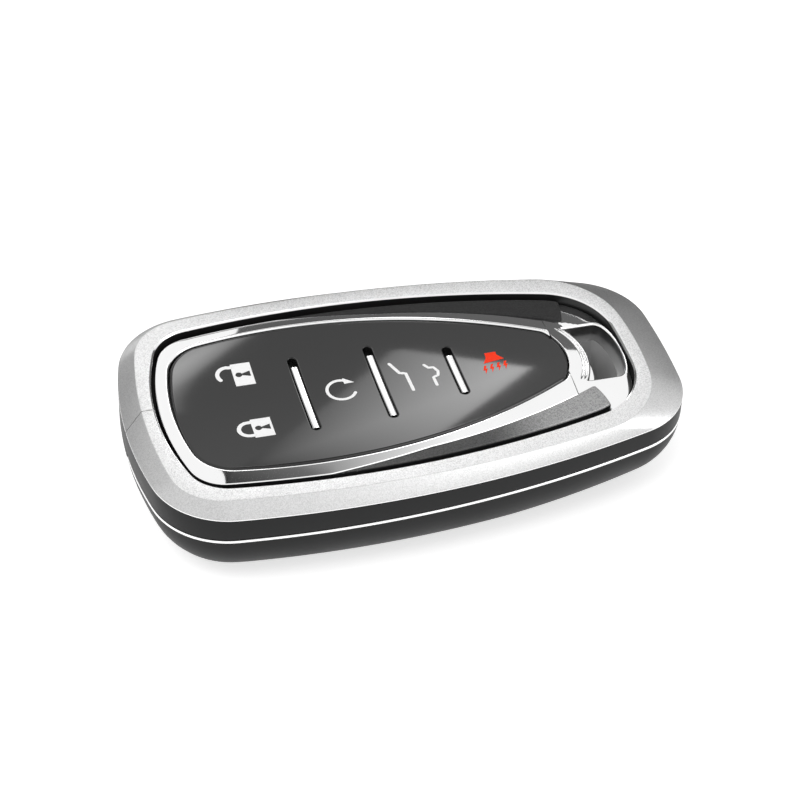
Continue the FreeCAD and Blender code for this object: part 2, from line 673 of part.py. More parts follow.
def button(x, y, length, width):
    top = rounded_block(x, y, length, width, BUTTON_CORNER, DECK_Z, COVER_TOP).cut(dish())
    return top.fuse(post(x, y, BUTTON_POST_RADIUS, STEM_TOP, DECK_Z))


def switch_base(x, y):
    base = block(x, y, SWITCH_SIDE, SWITCH_SIDE, BOARD_TOP, SWITCH_TOP)
    return base.cut(post(x, y, STEM_RADIUS + CLEARANCE, BOARD_TOP + STEM_BORE_FLOOR, SWITCH_TOP))


def switch_stem(x, y):
    return post(x, y, STEM_RADIUS, BOARD_TOP + STEM_BORE_FLOOR + 1.5 * BUTTON_TRAVEL, STEM_TOP)


def circuit_board():
    plate = prism(even(FOB_INNER, BOARD_MARGIN), BOARD_Z, BOARD_TOP)
    return plate.common(before(SEAM_X - TAIL_PARTITION - BOARD_MARGIN))


def coin_cell():
    return post(CELL_X, 0.0, CELL_RADIUS, CELL_Z, CELL_Z + CELL_THICKNESS)


def cell_contact():
    # round spring leaf under the cell with a tab up to the board
    leaf = post(CELL_X, 0.0, CONTACT_RADIUS, FOB_FLOOR_Z, CELL_Z)
    reach = CELL_RADIUS + CLEARANCE
    arm = box(CELL_X - TAB_WIDTH / 2.0, CELL_X + TAB_WIDTH / 2.0, -reach - CONTACT_THICKNESS, 0.0,
              FOB_FLOOR_Z, CELL_Z)
    tab = box(CELL_X - TAB_WIDTH / 2.0, CELL_X + TAB_WIDTH / 2.0, -reach - CONTACT_THICKNESS, -reach,
              FOB_FLOOR_Z, BOARD_Z)
    return leaf.fuse(arm).fuse(tab)


def cell_clip():
    # plate on top of the cell with a folded leg to the board
    top = CELL_Z + CELL_THICKNESS
    plate = block(CELL_X, 0.0, CLIP_SIDE, CLIP_SIDE, top, top + CONTACT_THICKNESS)
    leg = block(CELL_X, 0.0, TAB_WIDTH, TAB_WIDTH, top, BOARD_Z)
    return plate.fuse(leg)


def on_board(place, side, size):
    y = side * (FOB_INNER["half"] - place[1])
    return block(NOSE_X + place[0], y, size[0], size[1], BOARD_TOP, BOARD_TOP + size[2])


def antenna_coil():
    # hangs under the board beside the blade
    y = FOB_INNER["half"] - COIL_PLACE[1]
    return block(NOSE_X + COIL_PLACE[0], y, COIL_SIDE, COIL_SIDE, BOARD_Z - COIL_HEIGHT, BOARD_Z)


save("front_frame", front_frame())
save("front_band", front_band())
save("rear_shell", rear_shell())
save("trim_strip", trim_strip())
save("lining_pads", lining_pads())
save("fob_rear_housing", fob_rear_housing())
save("fob_front_housing", fob_front_housing())
save("housing_seal", housing_seal())
save("chrome_bezel", chrome_bezel())
save("key_head", key_head())
save("key_blade", key_blade())
save("blade_pin", blade_pin())
save("near_cheek", cheek(-1.0))
save("far_cheek", cheek(1.0))
save("button_pad", button_pad())
for number in range(len(BAR_SLOT_LENGTHS)):
    save("separator_bar_%d" % (number + 1), separator_bar(number))
for name, x, y, length, width in buttons():
    save(name + "_button", button(x, y, length, width))
    save(name + "_switch", switch_base(x, y))
    save(name + "_stem", switch_stem(x, y))
save("circuit_board", circuit_board())
save("coin_cell", coin_cell())
save("cell_contact", cell_contact())
save("cell_clip", cell_clip())
save("antenna_coil", antenna_coil())
save("controller_chip", on_board(CONTROLLER_PLACE, 1.0, CONTROLLER_SIZE))
save("radio_chip", on_board(RADIO_PLACE, -1.0, RADIO_SIZE))
save("crystal", on_board(CRYSTAL_PLACE, -1.0, CRYSTAL_SIZE))
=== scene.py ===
import json
import math

import bmesh
import bpy
import numpy as np
from mathutils import Euler, Matrix, Vector
from mathutils.geometry import delaunay_2d_cdt


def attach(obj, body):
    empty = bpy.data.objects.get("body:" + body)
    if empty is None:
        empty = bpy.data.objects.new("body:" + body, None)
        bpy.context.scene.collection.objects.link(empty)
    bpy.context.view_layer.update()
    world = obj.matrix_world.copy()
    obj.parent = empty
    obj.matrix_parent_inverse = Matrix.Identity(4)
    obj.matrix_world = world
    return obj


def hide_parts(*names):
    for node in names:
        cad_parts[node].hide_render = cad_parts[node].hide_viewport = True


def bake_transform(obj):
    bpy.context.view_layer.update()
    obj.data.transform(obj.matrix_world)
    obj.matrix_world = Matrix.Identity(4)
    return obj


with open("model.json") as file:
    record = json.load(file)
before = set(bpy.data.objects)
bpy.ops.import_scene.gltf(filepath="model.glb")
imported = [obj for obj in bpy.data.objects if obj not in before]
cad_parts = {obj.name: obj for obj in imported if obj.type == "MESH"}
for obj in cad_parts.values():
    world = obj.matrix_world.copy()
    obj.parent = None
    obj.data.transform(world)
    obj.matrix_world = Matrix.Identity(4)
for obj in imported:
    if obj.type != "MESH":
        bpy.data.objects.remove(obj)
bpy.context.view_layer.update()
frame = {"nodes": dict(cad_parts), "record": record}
print("frame loaded,", len(frame["nodes"]), "nodes")

mm = 0.001  # sizes below are millimetres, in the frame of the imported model
rootBody = "rear_cover_and_fob"
frontBody = "front_cover"

levels = dict(deck=11.597, lip=11.897, dish=13.947, frame=13.097, face=14.897, top=14.947,
              fobBottom=1.6, shellFloor=1.3)
sharpAngle = 35.0  # edges sharper than this, in degrees, stay crisp
seamX = 24.9  # where the bezel meets the end cap


# outlines: eight tangent arcs, nose towards -X
def makeOutline(nose, tail, half, widest, tailHalf, noseBow, tailBow, noseCorner, tailCorner):
    drop = half - tailHalf
    sideR = ((tail - tailBow - widest) ** 2 + drop ** 2) / (2 * drop)
    noseHalf = half - sideR + math.sqrt(sideR ** 2 - (widest - nose - noseBow) ** 2)
    noseR = (noseHalf ** 2 + noseBow ** 2) / (2 * noseBow)
    tailR = (tailHalf ** 2 + tailBow ** 2) / (2 * tailBow)
    return dict(nose=nose, tail=tail, half=half, widest=widest, noseR=noseR, tailR=tailR, sideR=sideR,
                noseC=noseCorner, tailC=tailCorner)


def moveIn(shape, nose, side, tail, corner):
    return dict(shape, nose=shape["nose"] + nose, tail=shape["tail"] - tail, half=shape["half"] - side,
                noseR=shape["noseR"] - nose, tailR=shape["tailR"] - tail, sideR=shape["sideR"] - side,
                noseC=shape["noseC"] - corner, tailC=shape["tailC"] - corner)


def evenIn(shape, amount):
    return moveIn(shape, amount, amount, amount, amount)


cover = makeOutline(-42.0, 42.0, 24.0, -11.1, 15.9, 4.1, 1.05, 12.1, 11.5)
flat = makeOutline(-39.2, 37.3, 21.8, -8.8, 16.3, 2.7, 2.3, 8.2, 13.0)
window = makeOutline(-37.25, 35.05, 19.2, -9.8, 12.5, 3.75, 0.7, 6.6, 10.8)
cavity = moveIn(cover, 2.3, 2.2, 4.6, 2.2)
fobSide = evenIn(cavity, 0.3)
plateau = evenIn(window, 0.4)
bezel = makeOutline(-36.85, 33.0, 16.4, -11.0, 6.0, 2.4, 1.37, 6.5, 4.0)
pad = makeOutline(-34.7, 26.0, 15.4, -14.4, 5.8, 2.3, 2.0, 6.6, 2.0)

arcSteps = dict(nose=26, noseCorner=26, side=84, tailCorner=26, tail=40)
mirrored = np.array([1.0, -1.0])  # from one side of the length to the other


def onCircle(centre, radius, angles):
    return np.column_stack([centre[0] + radius * np.cos(angles), centre[1] + radius * np.sin(angles)])


def arcThrough(p, q, r, steps):
    # arc from p through q to r
    p, q, r = [np.array(point, float) for point in (p, q, r)]
    centre = np.linalg.solve([q - p, r - p], [(q @ q - p @ p) / 2, (r @ r - p @ p) / 2])
    angles = np.unwrap([math.atan2(v[1] - centre[1], v[0] - centre[0]) for v in (p, q, r)])
    return onCircle(centre, math.dist(p, centre), np.linspace(angles[0], angles[2], steps))


def arcRun(cx, cy, radius, start, end, steps=28):
    return [tuple(p) for p in onCircle((cx, cy), radius, np.radians(np.linspace(start, end, steps)))]


def cornerCentre(endCentre, endReach, sideCentre, sideReach, toward):
    dx, dy = sideCentre[0] - endCentre[0], sideCentre[1] - endCentre[1]
    span = math.hypot(dx, dy)
    along = (endReach ** 2 - sideReach ** 2 + span ** 2) / (2 * span)
    height = math.sqrt(endReach ** 2 - along ** 2)
    mid = (endCentre[0] + along * dx / span, endCentre[1] + along * dy / span)
    both = [(mid[0] + s * height * dy / span, mid[1] - s * height * dx / span) for s in (-1, 1)]
    return max(both, key=lambda p: toward * p[0])


def ringPoints(shape, startY=0.0, endY=0.0, closed=True):
    # from the nose along the near side (-Y) to the tail and back along the far side
    noseMid = (shape["nose"] + shape["noseR"], 0.0)
    tailMid = (shape["tail"] - shape["tailR"], 0.0)
    sideMid = (shape["widest"], shape["sideR"] - shape["half"])
    noseCorner = cornerCentre(noseMid, shape["noseR"] - shape["noseC"], sideMid,
                              shape["sideR"] - shape["noseC"], -1)
    tailCorner = cornerCentre(tailMid, shape["tailR"] - shape["tailC"], sideMid,
                              shape["sideR"] - shape["tailC"], 1)

    def heading(centre, through):
        return math.atan2(through[1] - centre[1], through[0] - centre[0]) % (2 * math.pi)

    t1, t2 = heading(noseMid, noseCorner), heading(sideMid, noseCorner)
    t3, t4 = heading(sideMid, tailCorner), heading(tailMid, tailCorner)
    first = math.pi - math.asin(startY / shape["noseR"])
    last = 3 * math.pi - math.asin(endY / shape["noseR"])
    turn = 4 * math.pi

    sides = [
        (noseCorner, shape["noseC"], t1, t2, arcSteps["noseCorner"]),
        (sideMid, shape["sideR"], t2, t3, arcSteps["side"]),
        (tailCorner, shape["tailC"], t3, t4, arcSteps["tailCorner"]),
    ]
    arcs = [(noseMid, shape["noseR"], first, t1, arcSteps["nose"])] + sides
    arcs.append((tailMid, shape["tailR"], t4, turn - t4, arcSteps["tail"]))
    for centre, radius, a0, a1, steps in sides[::-1]:
        arcs.append(((centre[0], -centre[1]), radius, turn - a1, turn - a0, steps))
    arcs.append((noseMid, shape["noseR"], turn - t1, last, arcSteps["nose"]))
    rows = [onCircle(centre, radius, np.linspace(a0, a1, steps, endpoint=False))
            for centre, radius, a0, a1, steps in arcs]
    if not closed:
        rows.append(onCircle(noseMid, shape["noseR"], np.array([last])))
    return np.vstack(rows)


def halfWidth(shape, x):
    ring = ringPoints(shape)
    near = ring[ring[:, 1] <= 1e-9]
    order = np.argsort(near[:, 0])
    return np.interp(x, near[order, 0], -near[order, 1])


def distanceTo(points, x, y):
    # distance from each place to a closed run of points
    a = points
    b = np.roll(points, -1, axis=0)
    d = b - a
    length = np.maximum((d ** 2).sum(1), 1e-12)
    best = np.full(len(x), np.inf)
    atOnce = 2000
    for start in range(0, len(x), atOnce):
        part = slice(start, start + atOnce)
        px, py = x[part, None], y[part, None]
        t = np.clip(((px - a[:, 0]) * d[:, 0] + (py - a[:, 1]) * d[:, 1]) / length, 0, 1)
        gap = np.hypot(px - a[:, 0] - t * d[:, 0], py - a[:, 1] - t * d[:, 1])
        best[part] = gap.min(1)
    return best


def inside(points, x, y):
    a = points
    b = np.roll(points, -1, axis=0)
    result = np.zeros(len(x), bool)
    for p, q in zip(a, b):
        crosses = (p[1] > y) != (q[1] > y)
        if abs(q[1] - p[1]) > 1e-12:
            result ^= crosses & (x < (q[0] - p[0]) * (y - p[1]) / (q[1] - p[1]) + p[0])
    return result


# mesh helpers
def addObject(name, data):
    thing = bpy.data.objects.new(name, data)
    bpy.context.scene.collection.objects.link(thing)
    return thing


def shadeSmooth(mesh, sharp=sharpAngle):
    mesh.polygons.foreach_set("use_smooth", [True] * len(mesh.polygons))
    mesh.set_sharp_from_angle(angle=math.radians(sharp))


def keepMesh(name, mesh, *finishNames):
    for finish in finishNames:
        mesh.materials.append(finishes[finish])
    shadeSmooth(mesh)
    return addObject(name, mesh)


def meshFrom(name, verts, faces, faceMaterial=None):
    mesh = bpy.data.meshes.new(name)
    mesh.from_pydata([tuple(v) for v in np.asarray(verts) * mm], [], faces)
    if faceMaterial is not None:
        mesh.polygons.foreach_set("material_index", faceMaterial)
    faceOutward(mesh)
    return mesh


def faceOutward(mesh):
    work = bmesh.new()
    work.from_mesh(mesh)
    bmesh.ops.remove_doubles(work, verts=work.verts, dist=1e-8)
    bmesh.ops.recalc_face_normals(work, faces=work.faces)
    if work.calc_volume(signed=True) < 0:
        bmesh.ops.reverse_faces(work, faces=work.faces)
    work.to_mesh(mesh)
    work.free()


def level(points, z):
    return np.column_stack([points, np.broadcast_to(z, len(points))])


def softRows(corners, soft, closed, steps=4):
    # rounds the corners of a section; returns the rows and where each lies along the section
    count = len(corners)
    rows, place = [], []
    for k in range(count):
        if soft[k] == 0 or (not closed and k in (0, count - 1)):
            rows.append(corners[k])
            place.append(float(k))
            continue
        before, here, after = corners[k - 1], corners[k], corners[(k + 1) % count]
        back, on = before - here, after - here
        backLength = np.linalg.norm(back, axis=1, keepdims=True)
        onLength = np.linalg.norm(on, axis=1, keepdims=True)
        start = here + back / backLength * np.minimum(soft[k], 0.45 * backLength)
        end = here + on / onLength * np.minimum(soft[k], 0.45 * onLength)
        for t in np.linspace(0, 1, steps + 1):
            rows.append((1 - t) ** 2 * start + 2 * t * (1 - t) * here + t * t * end)
            place.append(k - 0.2 + 0.4 * t)
    return rows, place


def loftMesh(name, corners, soft, ringClosed=True, sectionClosed=True, capEnds=False, band=None):
    rows, place = softRows(corners, soft, sectionClosed)
    count, around = len(rows), len(rows[0])
    verts = np.vstack(rows)
    faces, marks = [], []
    for r in range(count if sectionClosed else count - 1):
        nextRow = (r + 1) % count
        mark = band((place[r] + (place[nextRow] if nextRow else len(corners))) / 2) if band else 0
        for i in range(around if ringClosed else around - 1):
            j = (i + 1) % around
            faces.append((r * around + i, r * around + j, nextRow * around + j, nextRow * around + i))
            marks.append(mark)
    if not ringClosed:
        for i in (0, around - 1):
            faces.append([r * around + i for r in range(count)])
            marks.append(0)
    if capEnds:
        for r in (0, count - 1):
            faces.append([r * around + i for i in range(around)])
            marks.append(0)
    return meshFrom(name, verts, faces, marks)


def triangulate(loops, extra):
    points, edges = [], []
    for loop in loops:
        base = len(points)
        points += [Vector(p) for p in loop]
        edges += [(base + i, base + (i + 1) % len(loop)) for i in range(len(loop))]
    points += [Vector(p) for p in extra]
    made = delaunay_2d_cdt(points, edges, [], 0, 1e-6)
    coords = np.array([tuple(v) for v in made[0]])
    faces = np.array([tuple(f) for f in made[2]])
    where = {old: new for new, olds in enumerate(made[3]) for old in olds}
    middle = coords[faces].mean(1)
    rings = loopNumbers(where, loops)
    keep = inside(coords[rings[0]], middle[:, 0], middle[:, 1])
    for ring in rings[1:]:
        keep &= ~inside(coords[ring], middle[:, 0], middle[:, 1])
    return coords, [tuple(f) for f in faces[keep].tolist()], where


def loopNumbers(where, loops, base=0):
    # numbers of each loop's points among the triangulated ones
    rings, done = [], 0
    for loop in loops:
        rings.append([base + where[done + i] for i in range(len(loop))])
        done += len(loop)
    return rings


def wallFaces(high, low):
    count = len(high)
    return [(high[i], high[(i + 1) % count], low[(i + 1) % count], low[i]) for i in range(count)]


def gridInside(loops, spacing, clear):
    outer = np.asarray(loops[0])
    xs = np.arange(outer[:, 0].min(), outer[:, 0].max(), spacing)
    ys = np.arange(outer[:, 1].min(), outer[:, 1].max(), spacing)
    gx, gy = [a.ravel() for a in np.meshgrid(xs, ys)]
    keep = inside(outer, gx, gy)
    for hole in loops[1:]:
        keep &= ~inside(np.asarray(hole), gx, gy)
    gx, gy = gx[keep], gy[keep]
    for loop in loops:
        keep = distanceTo(np.asarray(loop), gx, gy) > clear
        gx, gy = gx[keep], gy[keep]
    return list(zip(gx, gy))


def plateMesh(name, outer, top, bottom, holes=(), pockets=(), spacing=0.7, extra=(), clear=0.3):
    # closed plate whose top follows a height; pockets are (loop, floor) that don't go through
    loops = [outer] + list(holes) + [loop for loop, floor in pockets]
    coords, faces, where = triangulate(loops, list(extra) + gridInside(loops, spacing, clear))
    through = loops[:1 + len(holes)]
    under, underFaces, underWhere = triangulate(through, gridInside(through, 2 * spacing, spacing))
    verts = [level(coords, top(coords[:, 0], coords[:, 1])), level(under, bottom(under[:, 0], under[:, 1]))]
    total = len(coords)
    allFaces = faces + [tuple(total + i for i in f) for f in underFaces]
    topRings = loopNumbers(where, loops)
    for high, low in zip(topRings, loopNumbers(underWhere, through, total)):
        allFaces += wallFaces(high, low)
    total += len(under)
    for high, (loop, floor) in zip(topRings[len(through):], pockets):
        base, baseFaces, baseWhere = triangulate([loop], [])
        verts.append(level(base, floor))
        allFaces += [tuple(total + i for i in f) for f in baseFaces]
        allFaces += wallFaces(high, loopNumbers(baseWhere, [loop], total)[0])
        total += len(base)
    return meshFrom(name, np.vstack(verts), allFaces), len(faces)


def deckFlat(x, y):
    return np.full(len(x), levels["deck"])


def smoothTop(piece, top, topCount):
    # true normals of the height on the top faces, so that neighbouring skins shade as one
    mesh = piece.data
    normals = np.zeros(len(mesh.loops) * 3, np.float32)
    mesh.corner_normals.foreach_get("vector", normals)
    normals = normals.reshape(-1, 3)
    coords = np.zeros(len(mesh.vertices) * 3, np.float32)
    mesh.vertices.foreach_get("co", coords)
    coords = coords.reshape(-1, 3) / mm
    corners = np.zeros(len(mesh.loops), np.int32)
    mesh.loops.foreach_get("vertex_index", corners)
    used = corners[:3 * topCount]
    x, y = coords[used, 0].astype(float), coords[used, 1].astype(float)
    step = 0.01
    gx = (top(x + step, y) - top(x - step, y)) / (2 * step)
    gy = (top(x, y + step) - top(x, y - step)) / (2 * step)
    n = np.column_stack([-gx, -gy, np.ones(len(x))])
    n /= np.linalg.norm(n, axis=1, keepdims=True)
    plain = normals[:3 * topCount]
    agree = np.sum(n * plain, axis=1, keepdims=True) > 0.5
    normals[:3 * topCount] = np.where(agree, n, plain)
    mesh.normals_split_custom_set([tuple(v) for v in normals])


def addPiece(piece, body, slotName, *nodes):
    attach(piece, body)
    if nodes:
        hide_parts(*nodes)


# shader groups
def addNode(tree, kind, **values):
    # values are settings of the node, or its inputs with underscores for spaces
    node = tree.nodes.new(kind)
    for label, value in values.items():
        socket = node.inputs.get(label.replace("_", " "))
        if socket is None:
            setattr(node, label, value)
        else:
            socket.default_value = value
    return node


def newGroup(name, inputs, outputs):
    tree = bpy.data.node_groups.new(name, "ShaderNodeTree")
    for label, value in inputs:
        socket = tree.interface.new_socket(name=label, in_out="INPUT", socket_type="NodeSocketFloat")
        socket.default_value = value
    for label in outputs:
        tree.interface.new_socket(name=label, in_out="OUTPUT", socket_type="NodeSocketFloat")
    return tree, tree.nodes.new("NodeGroupInput"), tree.nodes.new("NodeGroupOutput")


def blastedGrain():
    # tiny blasted facets: each cell has its own brightness, with a softer cloud over them
    tree, source, result = newGroup("blastedGrain", [("Cells", 5200.0), ("Cloud", 260.0)],
                                    ["Facet", "Cloud", "Height"])
    place = addNode(tree, "ShaderNodeTexCoord")
    cells = addNode(tree, "ShaderNodeTexVoronoi", feature="F1")
    cloud = addNode(tree, "ShaderNodeTexNoise", Detail=3.0)
    split = addNode(tree, "ShaderNodeSeparateColor")
    for texture, label in ((cells, "Cells"), (cloud, "Cloud")):
        tree.links.new(place.outputs["Object"], texture.inputs["Vector"])
        tree.links.new(source.outputs[label], texture.inputs["Scale"])
    tree.links.new(cells.outputs["Color"], split.inputs["Color"])
    tree.links.new(split.outputs["Red"], result.inputs["Facet"])
    tree.links.new(cloud.outputs["Fac"], result.inputs["Cloud"])
    tree.links.new(cells.outputs["Distance"], result.inputs["Height"])
    return tree


def mouldedSkin():
    # fine moulded texture with slow variation from handling
    tree, source, result = newGroup("mouldedSkin", [("Pores", 3000.0), ("Handling", 90.0)],
                                    ["Pores", "Handling"])
    place = addNode(tree, "ShaderNodeTexCoord")
    for label, detail in (("Pores", 2.0), ("Handling", 4.0)):
        noise = addNode(tree, "ShaderNodeTexNoise", Detail=detail)
        tree.links.new(place.outputs["Object"], noise.inputs["Vector"])
        tree.links.new(source.outputs[label], noise.inputs["Scale"])
        tree.links.new(noise.outputs["Fac"], result.inputs[label])
    return tree


grainGroup = blastedGrain()
skinGroup = mouldedSkin()
grainDepth = 0.00006  # metres
poreDepth = 0.00003


def newMaterial(name, **sockets):
    material = bpy.data.materials.new(name)
    material.use_nodes = True
    shader = material.node_tree.nodes["Principled BSDF"]
    for label, value in sockets.items():
        shader.inputs[label.replace("_", " ")].default_value = value
    return material, material.node_tree, shader


def spread(tree, source, low, high, target, fromLow=0.0, fromHigh=1.0):
    # maps a mask onto the values of one socket
    node = addNode(tree, "ShaderNodeMapRange", From_Min=fromLow, From_Max=fromHigh, To_Min=low, To_Max=high)
    tree.links.new(source, node.inputs["Value"])
    tree.links.new(node.outputs["Result"], target)
    return node


def colours(tree, source, stops, target):
    ramp = addNode(tree, "ShaderNodeValToRGB")
    for end in (0, -1):
        ramp.color_ramp.elements[end].position = stops[end][0]
        ramp.color_ramp.elements[end].color = (*stops[end][1], 1)
    for position, colour in stops[1:-1]:
        ramp.color_ramp.elements.new(position).color = (*colour, 1)
    tree.links.new(source, ramp.inputs["Fac"])
    tree.links.new(ramp.outputs["Color"], target)


def bump(tree, source, shader, strength, depth):
    node = addNode(tree, "ShaderNodeBump", Strength=strength, Distance=depth)
    tree.links.new(source, node.inputs["Height"])
    tree.links.new(node.outputs["Normal"], shader.inputs["Normal"])


def grainMaterial(name, dark, light, rough, strength, cells, cloud, **sockets):
    material, tree, shader = newMaterial(name, **sockets)
    grain = addNode(tree, "ShaderNodeGroup", node_tree=grainGroup, Cells=cells, Cloud=cloud).outputs
    colours(tree, grain["Facet"], [(0.0, dark), (0.75, light), (1.0, light)], shader.inputs["Base Color"])
    spread(tree, grain["Cloud"], rough[0], rough[1], shader.inputs["Roughness"])
    bump(tree, grain["Height"], shader, strength, grainDepth)
    return material


def skinMaterial(name, dark, light, rough, strength, pores, handling, **sockets):
    material, tree, shader = newMaterial(name, **sockets)
    skin = addNode(tree, "ShaderNodeGroup", node_tree=skinGroup, Pores=pores, Handling=handling).outputs
    colours(tree, skin["Handling"], [(0.3, dark), (0.7, light)], shader.inputs["Base Color"])
    spread(tree, skin["Handling"], rough[0], rough[1], shader.inputs["Roughness"], 0.3, 0.7)
    bump(tree, skin["Pores"], shader, strength, poreDepth)
    return material


def paintedShadeAlong(material, start, end, floor):
    # paints shade into a colour, darker towards the nose end, places in millimetres along the part
    tree = material.node_tree
    target = tree.nodes["Principled BSDF"].inputs["Base Color"]
    place, split = addNode(tree, "ShaderNodeTexCoord"), addNode(tree, "ShaderNodeSeparateXYZ")
    tree.links.new(place.outputs["Object"], split.inputs[0])
    scale = addNode(tree, "ShaderNodeVectorMath", operation="SCALE")
    shade = spread(tree, split.outputs["X"], floor, 1.0, scale.inputs["Scale"], start * mm, end * mm)
    shade.interpolation_type = "SMOOTHSTEP"
    tree.links.new(target.links[0].from_socket, scale.inputs[0])
    tree.links.new(scale.outputs["Vector"], target)


def grey(value, warm=0.0):
    return (value * (1 + warm), value, value * (1 - warm))


finishes = dict(
    satin_silver=grainMaterial("satinSilver", grey(0.62), grey(0.88), (0.34, 0.42), 0.18, 8600, 260,
                               Metallic=0.9),
    # darker copy of the satin silver for the frame's bevel: painted shade, with its own finer, smoother grain
    silver_bevel_painted_shade=grainMaterial("satinBevelPaintedShade", grey(0.52), grey(0.66), (0.32, 0.38), 0.08, 9500, 260,
                               Metallic=0.95),
    cheek_plastic=grainMaterial("cheekPlastic", grey(0.22), grey(0.42), (0.38, 0.48), 0.3, 7800, 320,
                                Metallic=0.5),
    # the same cheek plastic made near black for the far cheek: painted shade
    cheek_painted_shade=grainMaterial("cheekPaintedShade", grey(0.006), grey(0.02), (0.42, 0.52), 0.3, 7800, 320,
                              Specular_IOR_Level=0.3),
    polished=skinMaterial("polishedEdge", grey(0.86), grey(0.92), (0.07, 0.12), 0.02, 2500, 300,
                          Metallic=1.0),
    charcoal_shell=skinMaterial("charcoalShell", grey(0.015, -0.02), grey(0.018, -0.02), (0.42, 0.5), 0.06,
                                3600, 120, Specular_IOR_Level=0.18),
    bright_trim=skinMaterial("brightTrim", grey(0.88), grey(0.94), (0.16, 0.22), 0.02, 2500, 300,
                             Metallic=1.0),
    chrome=skinMaterial("mirrorChrome", grey(0.90), grey(0.94), (0.035, 0.07), 0.0, 2500, 70, Metallic=1.0),
    pad_elastomer=skinMaterial("padElastomer", grey(0.008), grey(0.010), (0.045, 0.06), 0.0, 4200, 60),
    fob_plastic=skinMaterial("fobPlastic", grey(0.010), grey(0.015), (0.34, 0.44), 0.08, 2600, 90),
    seal_rubber=skinMaterial("sealRubber", grey(0.018), grey(0.03), (0.65, 0.8), 0.1, 1800, 140),
    # dark grey for the walls of the ring opening in the chrome cap: painted shade
    well_metal_painted_shade=skinMaterial("wellMetalPaintedShade", grey(0.10), grey(0.14), (0.3, 0.4), 0.05, 1500, 160, Metallic=0.9),
    # mid-grey for the lower walls of the ring opening: painted shade of the floor seen through it
    well_floor_painted_shade=skinMaterial("wellFloorPaintedShade", grey(0.42), grey(0.5), (0.4, 0.5), 0.05, 1500, 160),
    steel=skinMaterial("springSteel", grey(0.55), grey(0.66), (0.2, 0.34), 0.05, 1500, 160, Metallic=1.0),
    board_laminate=skinMaterial("boardLaminate", (0.01, 0.07, 0.025), (0.015, 0.1, 0.035), (0.3, 0.42), 0.04,
                                900, 220),
    chip_plastic=skinMaterial("chipPlastic", grey(0.012), grey(0.02), (0.45, 0.6), 0.1, 2400, 300),
    switch_plastic=skinMaterial("switchPlastic", grey(0.035), grey(0.06), (0.4, 0.5), 0.06, 2200, 260),
    white_ink=skinMaterial("whiteInk", grey(0.92), grey(0.95), (0.38, 0.46), 0.05, 5200, 600),
    red_ink=skinMaterial("redInk", (0.95, 0.035, 0.006), (1.0, 0.05, 0.010), (0.4, 0.48), 0.05, 5200, 600,
                         Specular_IOR_Level=0.12),
)
# painted shade on the near cheek, darker towards its nose end
paintedShadeAlong(finishes["cheek_plastic"], 8.0, 21.0, 0.2)
for slot in frame["record"]["materials"]:
    for nodeName in slot.get("nodes", []):
        node = frame["nodes"].get(nodeName)
        if node:
            node.data.materials.clear()
            node.data.materials.append(finishes[slot["slot"]])
print("finishes:", len(finishes))


# cover: silver frame, band, rear shell, bright strip
frameSize = dict(slitY=0.95, footY=-1.1, slitWidth=0.14, chamfer=0.25, land=0.14, flatEdge=0.15)
partingSize = dict(middle=9.647, slope=0.9 / 84.0, gap=0.1, tongue=0.9, tongueHeight=1.2,
                   rebate=1.2, rebateHeight=1.5, lipSetback=0.35)
shellSize = dict(edge=8.5, crownX=-8.0, crownR=800.0, restDepth=0.25, wall=2.2, edgeSteps=14,
                 floorShares=(0.35, 0.7, 0.9), innerShares=(0.8, 0.35), slotGap=0.3, slotCut=(-5.0, 8.0))
trimSize = dict(height=0.45, depth=0.8, bareDepth=0.02, proud=0.08, startY=-1.9, endY=11.5, edge=0.08,
                sharp=40.0)


def partingZ(points, shift=0.0):
    return partingSize["middle"] + partingSize["slope"] * points[:, 0] + shift


def frameBand(place):
    # black inner wall, painted shade inside the window; polished chamfer, speckled flat, smooth bevel in a
    # darker satin that paints shade, bright land
    for end, finish in ((0.9, 2), (1.9, 1), (3.0, 0), (3.9, 3), (5.1, 1)):
        if place < end:
            return finish
    return 0


def frontFrame():
    s = frameSize
    half = s["slitWidth"] / 2
    inner, lip, edge = [ringPoints(shape, s["slitY"] - half, s["slitY"] + half, False)
                        for shape in (window, evenIn(window, -s["chamfer"]), flat)]
    outer = ringPoints(cover, s["footY"] - half, s["footY"] + half, False)
    corners = [
        level(inner, levels["frame"]),
        level(inner, levels["top"] - s["chamfer"]),
        level(lip, levels["top"]),
        level(edge, levels["top"]),
        level(outer, levels["frame"] + s["land"]),
        level(outer, levels["frame"]),
    ]
    mesh = loftMesh("front_frame_shell", corners, [0, 0.05, 0.05, s["flatEdge"], 0.06, 0.03],
                    ringClosed=False, band=frameBand)
    # the black plastic on the window's inner wall is painted shade
    piece = keepMesh("front_frame_shell", mesh, "satin_silver", "polished", "fob_plastic", "silver_bevel_painted_shade")
    addPiece(piece, frontBody, "satin_silver", "front_frame")


def frontBand():
    s = partingSize
    outer, rebate, inner = [ringPoints(shape) for shape in (cover, evenIn(cavity, -s["rebate"]), cavity)]
    lip = ringPoints(evenIn(window, -s["lipSetback"]))
    corners = [
        level(outer, levels["frame"]),
        level(outer, partingZ(outer, s["gap"])),
        level(rebate, partingZ(rebate, s["gap"])),
        level(rebate, partingZ(rebate, s["rebateHeight"])),
        level(inner, partingZ(inner, s["rebateHeight"])),
        level(inner, levels["lip"]),
        level(lip, levels["lip"]),
        level(lip, levels["frame"]),
    ]
    mesh = loftMesh("front_band_wall", corners, [0.06, 0.12, 0, 0, 0.1, 0, 0.1, 0])
    piece = keepMesh("front_band_wall", mesh, "charcoal_shell")
    addPiece(piece, frontBody, "charcoal_shell", "front_band")


